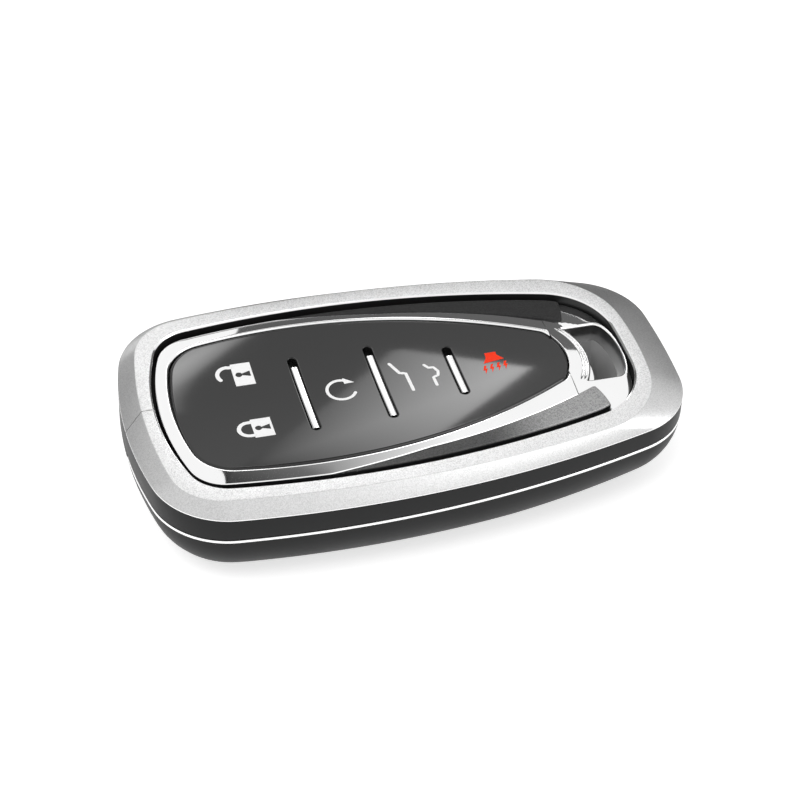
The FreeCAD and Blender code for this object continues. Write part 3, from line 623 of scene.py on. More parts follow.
def crownRing(points, lift=0.0):
    # a ring on the crowned floor, which is flat where the part rests
    s = shellSize
    z = (points[:, 0] - s["crownX"]) ** 2 / (2 * s["crownR"]) - s["restDepth"]
    return level(points, np.maximum(z, 0.0) + lift)


def shrink(points, share):
    return points * share + np.array([shellSize["crownX"] * (1 - share), 0.0])


slotSize = dict(centreX=17.95, inner=11.4, outer=16.65, endY=6.3, cornerX=32.3, outerTurn=13.5)


def ringSlot(grow, steps=70):
    # bent opening with straight ends, round a centre on the length
    s = slotSize
    inner, outer, endY = s["inner"] - grow, s["outer"] + grow, s["endY"] + grow
    turn, last = math.asin(endY / inner), math.radians(s["outerTurn"])
    centre = (s["centreX"], 0.0)
    innerArc = onCircle(centre, inner, np.linspace(turn, -turn, steps))
    end = np.linspace(innerArc[-1], (s["cornerX"], -endY), 36)
    tail = np.array([s["centreX"] + outer * math.cos(last), -outer * math.sin(last)])
    meet = np.array([tail[0] - (endY + tail[1]) * math.tan(last), -endY])
    t = np.linspace(0, 1, 24)[:, None]
    corner = (1 - t) ** 2 * end[-1] + 2 * t * (1 - t) * meet + t * t * tail
    outerArc = onCircle(centre, outer, np.linspace(-last, 0, steps // 2))
    near = np.vstack([end[1:], corner[1:], outerArc[1:]])
    return np.vstack([innerArc, near, near[::-1][1:] * mirrored])


def cutThrough(piece, loop, low, high):
    # cuts a prism of the loop out of a piece
    count = len(loop)
    verts = np.vstack([level(loop, low), level(loop, high)])
    faces = [tuple(range(count)), tuple(range(2 * count - 1, count - 1, -1))]
    faces += wallFaces(range(count), range(count, 2 * count))
    cutter = addObject("cutter", meshFrom("cutter", verts, faces))
    modifier = piece.modifiers.new("cut", "BOOLEAN")
    modifier.operation = "DIFFERENCE"
    modifier.solver = "MANIFOLD"
    modifier.object = cutter
    bakeModifiers(piece)
    faceOutward(piece.data)
    bpy.data.objects.remove(cutter)


def bakeModifiers(piece):
    done = bpy.data.meshes.new_from_object(piece.evaluated_get(bpy.context.evaluated_depsgraph_get()))
    piece.modifiers.clear()
    piece.data = done


def rearShell():
    s, t = shellSize, trimSize
    outer = ringPoints(cover)
    x, y = outer[:, 0], outer[:, 1]
    bare = (x < cover["nose"] + cover["noseC"]) & (y > t["startY"]) & (y < t["endY"])
    shallow, deep = [ringPoints(evenIn(cover, depth)) for depth in (t["bareDepth"], t["depth"])]
    groove = np.where(bare[:, None], shallow, deep)
    tongue = ringPoints(evenIn(cavity, -partingSize["tongue"]))
    inner = ringPoints(cavity)
    high = partingSize["tongueHeight"]
    edge, innerEdge, least = s["edge"], s["edge"] - s["wall"], 0.001
    last = ringPoints(evenIn(cover, edge - least))
    corners = [crownRing(shrink(last, share)) for share in s["floorShares"]]
    for angle in np.linspace(math.pi / 2, 0, s["edgeSteps"]):
        ring = ringPoints(evenIn(cover, min(edge * (1 - math.cos(angle)), edge - least)))
        corners.append(crownRing(ring, edge * (1 - math.sin(angle))))
    corners += [
        level(outer, partingZ(outer, -t["height"])),
        level(groove, partingZ(groove, -t["height"])),
        level(groove, partingZ(groove)),
        level(tongue, partingZ(tongue)),
        level(tongue, partingZ(tongue, high)),
        level(inner, partingZ(inner, high)),
    ]
    for angle in np.linspace(0, math.pi / 2, s["edgeSteps"] // 2):
        ring = ringPoints(evenIn(cavity, min(innerEdge * (1 - math.cos(angle)), innerEdge - least)))
        corners.append(crownRing(ring, levels["shellFloor"] + innerEdge * (1 - math.sin(angle))))
    last = ringPoints(evenIn(cavity, innerEdge - least))
    corners += [crownRing(shrink(last, share), levels["shellFloor"]) for share in s["innerShares"]]
    mesh = loftMesh("rear_shell_tub", corners, [0] * len(corners), sectionClosed=False, capEnds=True)
    piece = keepMesh("rear_shell_tub", mesh, "charcoal_shell")
    cutThrough(piece, ringSlot(s["slotGap"]), *s["slotCut"])
    piece.data.set_sharp_from_angle(angle=math.radians(sharpAngle))
    addPiece(piece, rootBody, "charcoal_shell", "rear_shell")


# strips that follow a path: the bright line on the side and the bars in the pad
def pathStrip():
    tree = bpy.data.node_groups.new("pathStrip", "GeometryNodeTree")
    tree.interface.new_socket(name="Geometry", in_out="INPUT", socket_type="NodeSocketGeometry")
    for label in ("Width", "Height", "Edge"):
        tree.interface.new_socket(name=label, in_out="INPUT", socket_type="NodeSocketFloat")
    tree.interface.new_socket(name="Finish", in_out="INPUT", socket_type="NodeSocketMaterial")
    tree.interface.new_socket(name="Geometry", in_out="OUTPUT", socket_type="NodeSocketGeometry")
    source, result = addNode(tree, "NodeGroupInput"), addNode(tree, "NodeGroupOutput")
    toCurve = addNode(tree, "GeometryNodeMeshToCurve")
    stand = addNode(tree, "GeometryNodeSetCurveNormal", mode="Z_UP")
    profile = addNode(tree, "GeometryNodeCurvePrimitiveQuadrilateral")
    soften = addNode(tree, "GeometryNodeFilletCurve", mode="POLY", Count=4)
    sweep = addNode(tree, "GeometryNodeCurveToMesh", Fill_Caps=True)
    real = addNode(tree, "GeometryNodeRealizeInstances")
    paint = addNode(tree, "GeometryNodeSetMaterial")
    link = tree.links.new
    link(source.outputs["Geometry"], toCurve.inputs["Mesh"])
    link(toCurve.outputs["Curve"], stand.inputs["Curve"])
    link(source.outputs["Width"], profile.inputs["Width"])
    link(source.outputs["Height"], profile.inputs["Height"])
    link(profile.outputs["Curve"], soften.inputs["Curve"])
    link(source.outputs["Edge"], soften.inputs["Radius"])
    link(stand.outputs["Curve"], sweep.inputs["Curve"])
    link(soften.outputs["Curve"], sweep.inputs["Profile Curve"])
    link(sweep.outputs["Mesh"], real.inputs["Geometry"])
    link(real.outputs["Geometry"], paint.inputs["Geometry"])
    link(source.outputs["Finish"], paint.inputs["Material"])
    link(paint.outputs["Geometry"], result.inputs["Geometry"])
    return tree


stripTree = pathStrip()


def stripAlong(name, path, width, height, edge, finish):
    mesh = bpy.data.meshes.new(name)
    mesh.from_pydata([tuple(p) for p in path * mm], [(i, i + 1) for i in range(len(path) - 1)], [])
    piece = addObject(name, mesh)
    modifier = piece.modifiers.new("strip", "NODES")
    modifier.node_group = stripTree
    values = dict(Width=width * mm, Height=height * mm, Edge=edge * mm, Finish=finishes[finish])
    for socket in stripTree.interface.items_tree:
        if socket.in_out == "INPUT" and socket.name in values:
            modifier[socket.identifier] = values[socket.name]
    bakeModifiers(piece)
    faceOutward(piece.data)
    shadeSmooth(piece.data, trimSize["sharp"])
    return piece


def trimStrip():
    t = trimSize
    ring = ringPoints(evenIn(cover, (t["depth"] - t["proud"]) / 2), t["startY"], t["endY"], False)
    path = level(ring, partingZ(ring, -t["height"] / 2))
    width = t["depth"] + t["proud"]
    piece = stripAlong("trim_strip_line", path, width, t["height"], t["edge"], "bright_trim")
    addPiece(piece, rootBody, "bright_trim", "trim_strip")


frontFrame()
frontBand()
rearShell()
trimStrip()
print("cover built")


# bezel, cheeks and end cap
bezelSize = dict(lip=0.25, slope=0.19, mostFall=0.7, noseGap=0.15, sideGap=0.8, cornerGap=0.3, roll=0.2)
cheekSize = dict(startX=-15.0, setback=0.8, drop=0.35, meetX=0.3, tuck=1.0, endX=28.9, bulge=1.4,
                 edge=0.3, edgeRings=(0.05, 0.12, 0.2, 0.3), spacing=0.5, backSteps=110)
headSize = dict(rim=0.12, edge=0.4, thinEdge=0.12, thinFrom=0.5, thinReach=2.0, collar=0.4,
                shoulder=0.9, shoulderBend=1.15, slotEdge=0.3, seat=0.08, ledge=0.8, seamGap=0.12,
                bodyEdge=6.0, bodySpacing=0.8,
                grooves=(10.35, 10.85), grooveWidth=0.12, grooveDepth=0.2, grooveEnd=6.2,
                seatRings=(0.03, 0.08), slotRings=(0.05, 0.1, 0.2, 0.3), rimRings=(0.1, 0.25, 0.45, 0.7, 0.9),
                grooveRings=np.linspace(10.0, 11.2, 13), spacing=0.35, clear=0.4)


def bezelFall(width):
    return np.minimum(bezelSize["slope"] * width, bezelSize["mostFall"])


def bezelEdge():
    # outer edge of the chrome: close to the window round the nose, along the cheeks from there
    s = bezelSize
    ring = ringPoints(moveIn(plateau, s["noseGap"], s["sideGap"], s["sideGap"], s["cornerGap"]))
    most = np.where(ring[:, 0] > cheekSize["startX"], cheekSide(ring[:, 0]) - 0.02, np.inf)
    return np.column_stack([ring[:, 0], np.sign(ring[:, 1]) * np.minimum(np.abs(ring[:, 1]), most)])


def chromeBezel():
    s = bezelSize
    padRing, crest, skirt = [ringPoints(shape) for shape in (pad, evenIn(pad, -s["lip"]), plateau)]
    edge = bezelEdge()
    face = levels["face"]
    corners = [
        level(padRing, levels["deck"]),
        level(padRing, face - s["lip"]),
        level(crest, face),
        level(edge, face - bezelFall(np.linalg.norm(edge - crest, axis=1))),
        level(edge, levels["lip"]),
        level(skirt, levels["lip"]),
        level(skirt, levels["deck"]),
    ]
    # black finish below the rolled edge: painted shade on the flank in the gap to the frame
    mesh = loftMesh("chrome_bezel_rim", corners, [0, 0.12, 0.3, s["roll"], 0.1, 0.1, 0],
                    band=lambda place: 1 if place > 3.4 else 0)
    work = bmesh.new()
    work.from_mesh(mesh)
    cut = bmesh.ops.bisect_plane(work, geom=work.verts[:] + work.edges[:] + work.faces[:], dist=1e-8,
                                 plane_co=(seamX * mm, 0, 0), plane_no=(1, 0, 0), clear_outer=True)
    bmesh.ops.holes_fill(work, edges=[e for e in cut["geom_cut"] if isinstance(e, bmesh.types.BMEdge)])
    bmesh.ops.recalc_face_normals(work, faces=work.faces)
    work.to_mesh(mesh)
    work.free()
    piece = keepMesh("chrome_bezel_rim", mesh, "chrome", "fob_plastic")
    addPiece(piece, rootBody, "chrome", "chrome_bezel")


bezelRing = ringPoints(bezel)
slotRing = ringSlot(0.0)


def roundOff(distance, radius):
    # drop of a rounded edge at a distance in from it
    reach = np.clip(radius - distance, 0.0, radius)
    return radius - np.sqrt(np.maximum(radius ** 2 - reach ** 2, 0.0))


def cheekCurve():
    s = cheekSize
    stop = s["endX"] - s["bulge"]
    start = (s["startX"], halfWidth(evenIn(plateau, s["setback"]), s["startX"]))
    meet = (s["meetX"], halfWidth(bezel, s["meetX"]))
    curve = arcThrough(start, meet, (stop, halfWidth(bezel, stop) - s["tuck"]), 90)
    curve[:, 1] = np.maximum(curve[:, 1], halfWidth(bezel, curve[:, 0]) + 0.01)
    return curve


def cheekSide(x):
    curve = cheekCurve()
    return np.interp(x, curve[:, 0], curve[:, 1])


def cheekLoop():
    # far cheek, from its tip along the bezel to the rounded end and back along the window
    s = cheekSize
    stop = s["endX"] - s["bulge"]
    limit = evenIn(plateau, s["setback"])
    curve = cheekCurve()
    first, edge = halfWidth(bezel, stop) - s["tuck"], plateau["half"]
    cap = arcThrough((stop, first), (s["endX"], (first + edge) / 2), (stop, edge), 90)
    fits = (cap[:, 1] > halfWidth(bezel, cap[:, 0]) + 0.1) & (cap[:, 1] < halfWidth(limit, cap[:, 0]) - 0.1)
    cap = cap[fits]
    backX = np.linspace(cap[-1, 0], s["startX"], s["backSteps"])[:-1]
    back = np.column_stack([backX, halfWidth(limit, backX)])
    return np.vstack([curve, cap, back])


def cheek(side, node, finish):
    s = cheekSize
    loop = cheekLoop() * np.array([1.0, side])

    def top(x, y):
        return levels["face"] - s["drop"] - roundOff(distanceTo(loop, x, y), s["edge"])

    name = node + "_inlay"
    mesh, topCount = plateMesh(name, loop, top, deckFlat, spacing=s["spacing"],
                               extra=insetLoop(loop, s["edgeRings"]))
    piece = keepMesh(name, mesh, finish, "fob_plastic")
    # the side walls and underside take the black finish: painted shade along the cheek's side
    for number, face in enumerate(mesh.polygons):
        face.material_index = 0 if number < topCount else 1
    smoothTop(piece, top, topCount)
    addPiece(piece, rootBody, "cheek_plastic", node)


def insetLoop(loop, amounts):
    # places a little way in from a loop, for rounded edges
    area = np.sum(loop[:, 0] * np.roll(loop[:, 1], -1) - np.roll(loop[:, 0], -1) * loop[:, 1])
    along = np.roll(loop, -1, axis=0) - np.roll(loop, 1, axis=0)
    along /= np.maximum(np.linalg.norm(along, axis=1, keepdims=True), 1e-9)
    inward = np.column_stack([-along[:, 1], along[:, 0]]) * np.sign(area)
    points = []
    for amount in amounts:
        moved = loop + inward * amount
        x, y = moved[:, 0], moved[:, 1]
        good = inside(loop, x, y) & (distanceTo(loop, x, y) > 0.9 * amount)
        points += [tuple(p) for p in moved[good]]
    return points


def capLoop(rimRing, padRing):
    # round the cheek ends, along the window, and back along the seam and the pad
    start = seamX + headSize["seamGap"]
    outline = cheekLoop()
    end = outline[:len(outline) - cheekSize["backSteps"] + 1]
    end = end[end[:, 0] > start + 0.05]
    far = np.vstack([[(start, cheekSide(start))], end])
    near = far * mirrored
    rim = rimRing[rimRing[:, 0] > end[-1, 0] + 0.05]
    padTail = padRing[padRing[:, 0] > start + 0.05][::-1]
    seam = np.column_stack([np.full(24, start), np.linspace(far[0, 1], halfWidth(pad, start), 24)])
    return np.vstack([near, rim, far[::-1], seam[1:], padTail, (seam[::-1] * mirrored)[:-1]])


def keyHead():
    s = headSize
    padRing, rimRing = ringPoints(pad), ringPoints(evenIn(window, s["rim"]))
    loop = capLoop(rimRing, padRing)

    def top(x, y):
        z = levels["face"] - bezelFall(distanceTo(padRing, x, y))
        toSlot, toRim = distanceTo(slotRing, x, y), distanceTo(rimRing, x, y)
        out = np.minimum(distanceTo(bezelRing, x, y), np.maximum(toSlot - s["collar"], 0.0))
        out = np.where(inside(bezelRing, x, y), 0.0, out)
        z = z - s["shoulder"] * (out / np.maximum(out + toRim, 1e-6)) ** s["shoulderBend"]
        full = np.clip((toSlot - s["thinFrom"]) / s["thinReach"], 0.0, 1.0)
        edge = s["thinEdge"] + (s["edge"] - s["thinEdge"]) * full
        z = z - roundOff(toRim, edge) - roundOff(toSlot, s["slotEdge"])
        z = z - roundOff(distanceTo(loop, x, y), s["seat"])
        reach = np.hypot(x - slotSize["centreX"], y)
        fade = np.clip(s["grooveEnd"] - np.abs(y), 0.0, 1.0)
        for groove in s["grooves"]:
            z = z - s["grooveDepth"] * fade * np.exp(-((reach - groove) / s["grooveWidth"]) ** 2)
        return z

    rings = insetLoop(loop, s["seatRings"])
    rings += [tuple(p) for amount in s["slotRings"] for p in ringSlot(amount)]
    rings += [tuple(p) for amount in s["rimRings"]
              for p in ringPoints(evenIn(window, s["rim"] + amount)) if p[0] > seamX]
    for reach in s["grooveRings"]:
        rings += arcRun(slotSize["centreX"], 0.0, reach, -36, 36, 60)
    rings = np.array(rings)
    x, y = rings[:, 0], rings[:, 1]
    good = inside(loop, x, y) & ~inside(slotRing, x, y)
    for ring in (loop, slotRing):
        good &= distanceTo(ring, x, y) > 0.02
    mesh, topCount = plateMesh("key_head_cap", loop, top, deckFlat, holes=[slotRing], spacing=s["spacing"],
                               extra=[tuple(p) for p in rings[good]], clear=s["clear"])
    # the opening's walls take the dark grey: painted shade in the opening
    cap = keepMesh("key_head_cap", mesh, "chrome", "well_metal_painted_shade")
    paintWellShade(cap, slotRing)
    smoothTop(cap, top, topCount)
    addPiece(cap, rootBody, "chrome", "key_head")


def keyHeadBody():
    # lower part of the head, with the ledge that shows inside the opening
    s = headSize
    fobRing = ringPoints(fobSide)
    outer = fobRing[fobRing[:, 0] > seamX + 0.05]
    yEnd = halfWidth(fobSide, seamX)
    seam = np.column_stack([np.full(30, seamX), np.linspace(yEnd, -yEnd, 30)])
    lowerSlot = ringSlot(-s["ledge"])

    def under(x, y):
        crown = (x - shellSize["crownX"]) ** 2 / (2 * shellSize["crownR"])
        return levels["fobBottom"] + crown + roundOff(distanceTo(fobRing, x, y), s["bodyEdge"])

    mesh = plateMesh("key_head_body", np.vstack([outer, seam]), deckFlat, under, holes=[lowerSlot],
                     spacing=s["bodySpacing"])[0]
    # the lower walls of the opening take the mid-grey: painted shade
    piece = keepMesh("key_head_body", mesh, "chrome", "well_floor_painted_shade")
    paintWellShade(piece, lowerSlot)
    addPiece(piece, rootBody, "chrome")


def paintWellShade(piece, loop):
    # gives the upright faces of an opening the piece's second finish, which paints the shade in the opening
    upright = [face for face in piece.data.polygons if abs(face.normal.z) < 0.1]
    centres = np.array([tuple(face.center) for face in upright]) / mm
    for face, gap in zip(upright, distanceTo(loop, centres[:, 0], centres[:, 1])):
        if gap < 0.05:
            face.material_index = 1


chromeBezel()
cheek(-1.0, "near_cheek", "cheek_plastic")
# the far cheek takes the near-black copy of its plastic: painted shade on that side
cheek(1.0, "far_cheek", "cheek_painted_shade")
keyHead()
keyHeadBody()
print("bezel, cheeks and end cap built")


# button pad: one skin in the thumb dish, with the zones that sink when pressed
dishSize = dict(x=-20.0, long=1400.0, cross=130.0, edge=0.6,
                edgeRings=(0.06, 0.14, 0.25, 0.38, 0.5, 0.6, 0.7), clear=0.85)
barSize = dict(places=(-14.95, -3.2, 8.55), far=(8.7, 8.7, 5.9), near=(7.9, 7.9, 5.3), farGap=2.2,
               nearGap=0.25, width=1.12, gap=0.12, floor=12.947, lift=0.02, rise=0.15, edge=0.25,
               step=0.25, slotEdge=0.12, slotRings=(0.04, 0.1, 0.2), roundReach=0.6)
zoneSize = dict(inner=0.4, outer=0.8, step=0.5)
keyZones = [
    ("unlock", -22.8, 6.1, 9.0, 7.6),
    ("lock", -22.8, -6.1, 9.0, 7.6),
    ("start", -9.075, 0.0, 7.95, 13.0),
    ("tailgate", 2.675, 0.0, 7.95, 13.0),
    ("panic", 14.65, 0.0, 8.0, 9.0),
]


def dishZ(x, y):
    s = dishSize
    reach = s["long"] - s["cross"] + np.sqrt(s["cross"] ** 2 - y ** 2)
    return levels["dish"] + s["long"] - np.sqrt(reach ** 2 - (x - s["x"]) ** 2)


padEdge = ringPoints(evenIn(pad, 0.05))


def padTop(x, y):
    return dishZ(x, y) - roundOff(distanceTo(padEdge, x, y), dishSize["edge"])


def sideRun(p, q):
    # points along one side of a zone, without its last corner
    count = max(2, int(round(math.hypot(q[0] - p[0], q[1] - p[1]) / zoneSize["step"])))
    return [(p[0] + (q[0] - p[0]) * i / count, p[1] + (q[1] - p[1]) * i / count) for i in range(count)]


def zoneCorners(x, y, length, width, grow):
    hx, hy = length / 2 + grow, width / 2 + grow
    return [(x - hx, y - hy), (x + hx, y - hy), (x + hx, y + hy), (x - hx, y + hy)]


def loopThrough(corners):
    return np.vstack([sideRun(p, q) for p, q in zip(corners, corners[1:] + corners[:1])])


def slotLoop(number):
    s = barSize
    half = s["width"] / 2 + s["gap"]
    x, far, near = [s[key][number] for key in ("places", "far", "near")]
    far, near = far - half, near - half
    points = []
    for side, here, there in ((1, far, -near), (-1, -near, far)):
        points += [tuple(p) for p in onCircle((x, here), side * half, np.linspace(0, math.pi, 16))]
        run = np.linspace(here, there, int((far + near) / s["step"]))
        points += [(x - side * half, y) for y in run[1:-1]]
    return np.array(points)


def padSkin():
    s = barSize
    holes = [loopThrough(zoneCorners(*zone[1:], zoneSize["outer"])) for zone in keyZones]
    slots = [slotLoop(number) for number in range(len(s["places"]))]

    def top(x, y):
        z = padTop(x, y)
        for loop in slots:
            z = z - roundOff(distanceTo(loop, x, y), s["slotEdge"])
        return z

    rings = insetLoop(padEdge, dishSize["edgeRings"])
    for loop in slots:
        y = loop[:, 1]
        spine = np.clip(y, y.min() + s["roundReach"], y.max() - s["roundReach"])
        away = loop - np.column_stack([np.full(len(loop), loop[:, 0].mean()), spine])
        away /= np.linalg.norm(away, axis=1, keepdims=True)
        rings += [tuple(p) for amount in s["slotRings"] for p in loop + away * amount]
    addSkin("pad_skin", padEdge, top, holes=holes, pockets=[(loop, s["floor"]) for loop in slots],
            extra=rings, clear=dishSize["clear"], ride=(rootBody, "button_pad"))
    for zone in keyZones:
        keySkin(*zone)


def addSkin(name, loop, top, ride=None, **plate):
    mesh, topCount = plateMesh(name, loop, top, deckFlat, **plate)
    piece = keepMesh(name, mesh, "pad_elastomer")
    smoothTop(piece, top, topCount)
    if ride:
        addPiece(piece, ride[0], "pad_elastomer", ride[1])
    return piece


def keySkin(name, x, y, length, width):
    inner = zoneCorners(x, y, length, width, -zoneSize["inner"])
    outer = zoneCorners(x, y, length, width, zoneSize["outer"])
    body = name + "_key"
    addSkin(name + "_skin", loopThrough(inner), padTop, ride=(body, name + "_button"))
    for i, part in enumerate(("near", "tail", "far", "nose")):
        j = (i + 1) % 4
        flex = addSkin(name + "_flex_" + part, loopThrough([outer[i], outer[j], inner[j], inner[i]]), padTop)
        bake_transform(flex)


def separatorBars():
    s = barSize
    for number, x in enumerate(s["places"]):
        y = np.linspace(s["nearGap"] - s["near"][number], s["far"][number] - s["farGap"], 40)
        xs = np.full(len(y), x)
        top = dishZ(xs, y) + s["rise"]
        height = top.max() - s["floor"] - s["lift"]
        path = np.column_stack([xs, y, top - height / 2])
        node = "separator_bar_%d" % (number + 1)
        piece = stripAlong(node + "_metal", path, s["width"], height, s["edge"], "chrome")
        addPiece(piece, rootBody, "chrome", node)


padSkin()
separatorBars()
print("button pad built")


# printed symbols: thin inlays that follow the dish and ride on their keys
inkSize = dict(rise=0.03, depth=0.05, spacing=0.4)


def stroke(points, width):
    # even-width line with round ends
    p = np.array(points, float)
    along = np.gradient(p, axis=0)
    along /= np.linalg.norm(along, axis=1, keepdims=True)
    across = np.column_stack([-along[:, 1], along[:, 0]]) * width / 2
    ends = []
    for centre, direction in ((p[-1], along[-1]), (p[0], -along[0])):
        base = math.degrees(math.atan2(direction[1], direction[0]))
        ends.append(arcRun(centre[0], centre[1], width / 2, base - 90, base + 90, 9)[1:-1])
    return np.vstack([p - across, ends[0], (p + across)[::-1], ends[1]])


def bent(points, width):
    # mitred line for corners
    fine = []
    for a, b in zip(points[:-1], points[1:]):
        fine += [(a[0] + (b[0] - a[0]) * t, a[1] + (b[1] - a[1]) * t) for t in (0.0, 0.35, 0.65)]
    return stroke(fine + [points[-1]], width)


def symbol(name, body, finish, shapes):
    def top(x, y):
        return dishZ(x, y) + inkSize["rise"]

    def bottom(x, y):
        return dishZ(x, y) - inkSize["depth"]

    work = bmesh.new()
    for outer, holes in shapes:
        work.from_mesh(plateMesh(name, np.array(outer), top, bottom, holes=[np.array(h) for h in holes],
                                 spacing=inkSize["spacing"])[0])
    joined = bpy.data.meshes.new(name)
    work.to_mesh(joined)
    work.free()
    addPiece(keepMesh(name, joined, finish), body, "pad_elastomer")


def keyhole(x, y):
    ring = arcRun(x, y, 0.52, 22, 338, 26)
    return ring + [(x + 1.75, y - 0.62), (x + 1.75, y + 0.62)]


def padlock(x, y, half, opened):
    body = [(x - 1.5, y - half), (x + 1.5, y - half), (x + 1.5, y + half), (x - 1.5, y + half)]
    shapes = [(loopThrough(body), [keyhole(x - 0.6, y)])]
    if opened:
        hook = [(x - 1.5, y + half - 0.6), (x - 1.9, y + half - 0.6)] + arcRun(x - 2.2, y + 0.3, 1.6, 90, 215)
    else:
        hook = [(x - 1.5, y - 1.5), (x - 1.8, y - 1.5)] + arcRun(x - 2.0, y, 1.5, 270, 90)
        hook += [(x - 1.8, y + 1.5), (x - 1.5, y + 1.5)]
    return shapes + [(stroke(hook, 0.62), [])]


symbol("unlock_symbol", "unlock_key", "white_ink", padlock(-22.8, 6.75, 2.4, True))
symbol("lock_symbol", "lock_key", "white_ink", padlock(-22.55, -5.5, 2.1, False))
symbol("start_symbol", "start_key", "white_ink", [
    (stroke(arcRun(-9.25, 0.1, 2.15, 62, 332, 48), 0.48), []),
    ([(-8.5, 2.65), (-8.5, 1.35), (-6.95, 1.4)], []),
])
symbol("tailgate_symbol", "tailgate_key", "white_ink", [
    (bent([(-0.8, 4.1), (0.2, 1.75), (1.08, 1.5), (1.2, -2.45)], 0.5), []),
    (bent([(4.28, 2.65), (4.72, 1.92), (5.5, 1.82), (5.95, 0.82), (5.7, -0.08), (4.9, -0.35), (4.95, -2.2)],
          0.45), []),
])


def bolt(x, y):
    # one jagged stroke below the horn
    zigzag = [(0.04, 0.0), (-0.36, -1.0), (-0.06, -1.0), (-0.22, -1.9),
              (0.42, -0.68), (0.1, -0.68), (0.44, 0.0)]
    return ([(x + dx, y + dy) for dx, dy in zigzag], [])


symbol("panic_symbol", "panic_key", "red_ink",
       [([(13.9, 3.0), (15.65, 2.97), (15.6, 2.33), (16.45, 1.2), (13.12, 0.75), (13.82, 1.95)][::-1], [])]
       + [bolt(13.0 + 1.08 * i, 0.25 + 0.12 * i) for i in range(4)])
print("symbols built")


# stage, light and camera, in metres
stageSize = dict(floor=2.0, floorGrey=0.75, floorGlow=0.65, fill=0.6, lampPlace=(-0.25, -0.1, 0.6),
                 lampAim=(0, 0, 0.01), lampSize=0.5, lampWatts=2.0)
cameraSize = dict(sensor=36.0, lens=102.083, place=(-0.077111, -0.247073, 0.234645),
                  turn=(49.046, -2.122, -15.477), nearest=0.01, furthest=20.0)
view = Euler([math.radians(angle) for angle in cameraSize["turn"]]).to_matrix()


def seenRays(tree):
    # 1 for rays from the camera, and for what gloss and glass show
    path = addNode(tree, "ShaderNodeLightPath")
    total = path.outputs["Is Camera Ray"]
    for label in ("Is Glossy Ray", "Is Transmission Ray"):
        join = addNode(tree, "ShaderNodeMath", operation="MAXIMUM")
        tree.links.new(total, join.inputs[0])
        tree.links.new(path.outputs[label], join.inputs[1])
        total = join.outputs[0]
    return total


def makeFloor():
    # pale, white to the eye and in reflections, and still takes the shadow
    s = stageSize
    material, tree, shader = newMaterial("paleFloor", Base_Color=(*grey(s["floorGrey"]), 1), Roughness=0.6,
                                         Emission_Color=(1, 1, 1, 1))
    spread(tree, seenRays(tree), 0.0, s["floorGlow"], shader.inputs["Emission Strength"])
    size = s["floor"]
    mesh = bpy.data.meshes.new("floor")
    mesh.from_pydata([(-size, -size, 0), (size, -size, 0), (size, size, 0), (-size, size, 0)], [],
                     [(0, 1, 2, 3)])
    mesh.materials.append(material)
    addObject("floor", mesh)


def makeWorld():
    world = bpy.data.worlds.new("studio")
    world.use_nodes = True
    background = world.node_tree.nodes["Background"]
    background.inputs["Color"].default_value = (1, 1, 1, 1)
    spread(world.node_tree, seenRays(world.node_tree), stageSize["fill"], 1.0, background.inputs["Strength"])
    bpy.context.scene.world = world


def softLight():
    s = stageSize
    data = bpy.data.lights.new("keyLight", "AREA")
    data.shape = "RECTANGLE"
    data.size = data.size_y = s["lampSize"]
    data.energy = s["lampWatts"]
    lamp = addObject("keyLight", data)
    lamp.location = s["lampPlace"]
    lamp.rotation_euler = (Vector(s["lampAim"]) - lamp.location).to_track_quat("-Z", "Y").to_euler()
    lamp.visible_glossy = False


def makeCamera():
    s = cameraSize
    data = bpy.data.cameras.new("camera")
    data.sensor_width = s["sensor"]
    data.lens = s["lens"]
    data.clip_start, data.clip_end = s["nearest"], s["furthest"]
    camera = addObject("camera", data)
    camera.matrix_world = Matrix.Translation(s["place"]) @ view.to_4x4()
    bpy.context.scene.camera = camera


# cards that only the gloss sees, each corner with its own brightness
mirrorCards = dict(  # millimetres across and up, square to the view mirrored in the pad
    strip=[(-4.5, 37.5), (-2.5, 40.5), (0.5, 40), (2.5, 37), (26, -2), (-37, -92), (-65, -49)],
    stripGlow=[2.6, 3.2, 3.4, 3.6, 7.6, 0.7, 0.5],
    rim=((-28, 82), (-47, 62), (-64, 21)), rimGlow=[1.4, 1.8, 2, 1.8, 1.4, 1],
    ridge=((-70, 21), (-53, 67), (-30, 84)), ridgeGlow=[1.6, 4, 6.5, 7.5, 7, 4],
    edge=((-36, 100), (-68, 82), (-84, 21)), edgeGlow=[1.5] * 6,
    steps=6, distance=0.4)
wallCards = [  # metres: y, left, right, low, high
    ("backLeft", 0.45, -0.9, -0.2, 0.0, 0.32, [0.3] * 4),
    ("farFlag", 0.08, -0.012, 0.30, 0.0, 0.066, [0.12, 0.2, 0.2, 0.1]),
]
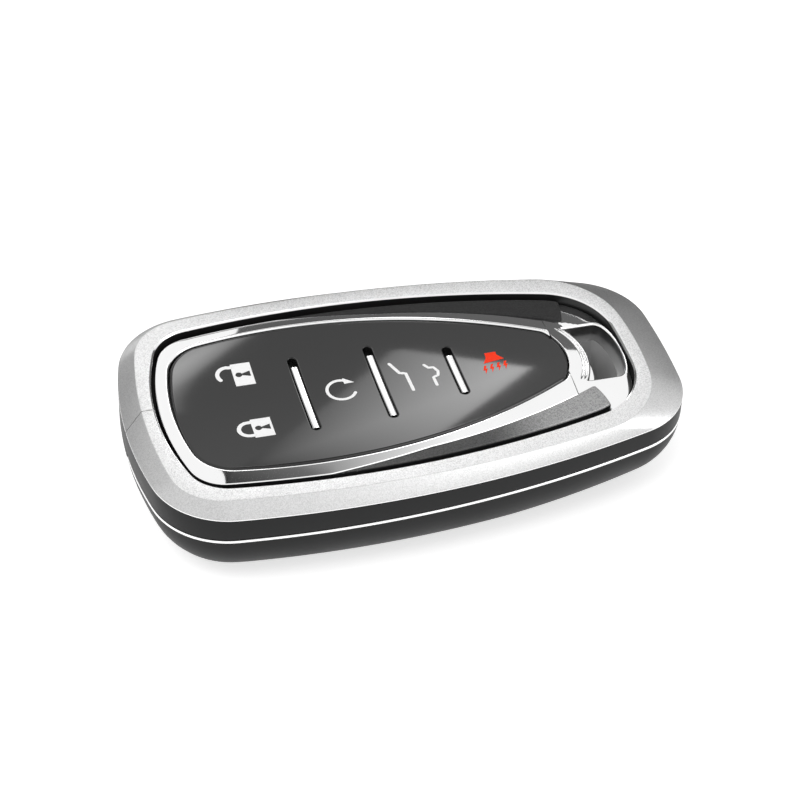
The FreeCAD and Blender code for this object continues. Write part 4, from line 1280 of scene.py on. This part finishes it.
flatCards = [  # metres: z, left, right, near, far
    ("farFloor", 0.0005, -0.06, 0.08, 0.027, 0.08, [0.25] * 4),
    ("overFlag", 0.5, -0.012, 0.065, 0.08, 0.32, [0.02, 0.15, 0.15, 0.02]),
    ("overFade", 0.5, 0.065, 0.18, 0.08, 0.32, [0.15, 1.0, 1.0, 0.15]),
    ("topCard", 0.6, 0.1, 0.9, -0.45, -0.02, [1.2, 6.0, 6.0, 1.2]),
]


def mirrorPoint(along, rise):
    forward = view.col[2] * Vector((-1, -1, 1))
    side = view.col[0] - view.col[0].dot(forward) * forward
    side.normalize()
    return forward * mirrorCards["distance"] + side * along * mm + side.cross(forward) * rise * mm


def glossCard(name, corners, glow):
    mesh = bpy.data.meshes.new(name)
    mesh.from_pydata([tuple(c) for c in corners], [], [tuple(range(len(corners)))])
    mesh.attributes.new("glow", "FLOAT", "POINT").data.foreach_set("value", glow)
    material = bpy.data.materials.new(name)
    material.use_nodes = True
    tree = material.node_tree
    tree.nodes.clear()
    shade = addNode(tree, "ShaderNodeAttribute", attribute_name="glow")
    light, result = addNode(tree, "ShaderNodeEmission"), addNode(tree, "ShaderNodeOutputMaterial")
    tree.links.new(shade.outputs["Fac"], light.inputs["Strength"])
    tree.links.new(light.outputs["Emission"], result.inputs["Surface"])
    mesh.materials.append(material)
    card = addObject(name, mesh)
    card.visible_camera = card.visible_diffuse = card.visible_shadow = card.visible_transmission = False


def makeCards():
    s = mirrorCards
    glossCard("padCard", [mirrorPoint(*p) for p in s["strip"]], s["stripGlow"])
    rim, ridge, edge = [[mirrorPoint(*p) for p in arcThrough(*s[run], s["steps"])]
                        for run in ("rim", "ridge", "edge")]
    glossCard("noseCard", rim + ridge, s["rimGlow"] + s["ridgeGlow"])
    glossCard("noseEdge", ridge + edge, s["ridgeGlow"] + s["edgeGlow"])
    for name, y, left, right, low, high, glow in wallCards:
        glossCard(name, [(left, y, low), (right, y, low), (right, y, high), (left, y, high)], glow)
    for name, z, left, right, near, far, glow in flatCards:
        glossCard(name, [(left, near, z), (right, near, z), (right, far, z), (left, far, z)], glow)


makeFloor()
makeWorld()
softLight()
makeCards()
makeCamera()
bpy.context.scene.view_settings.view_transform = "Standard"
print("stage, light and camera set")
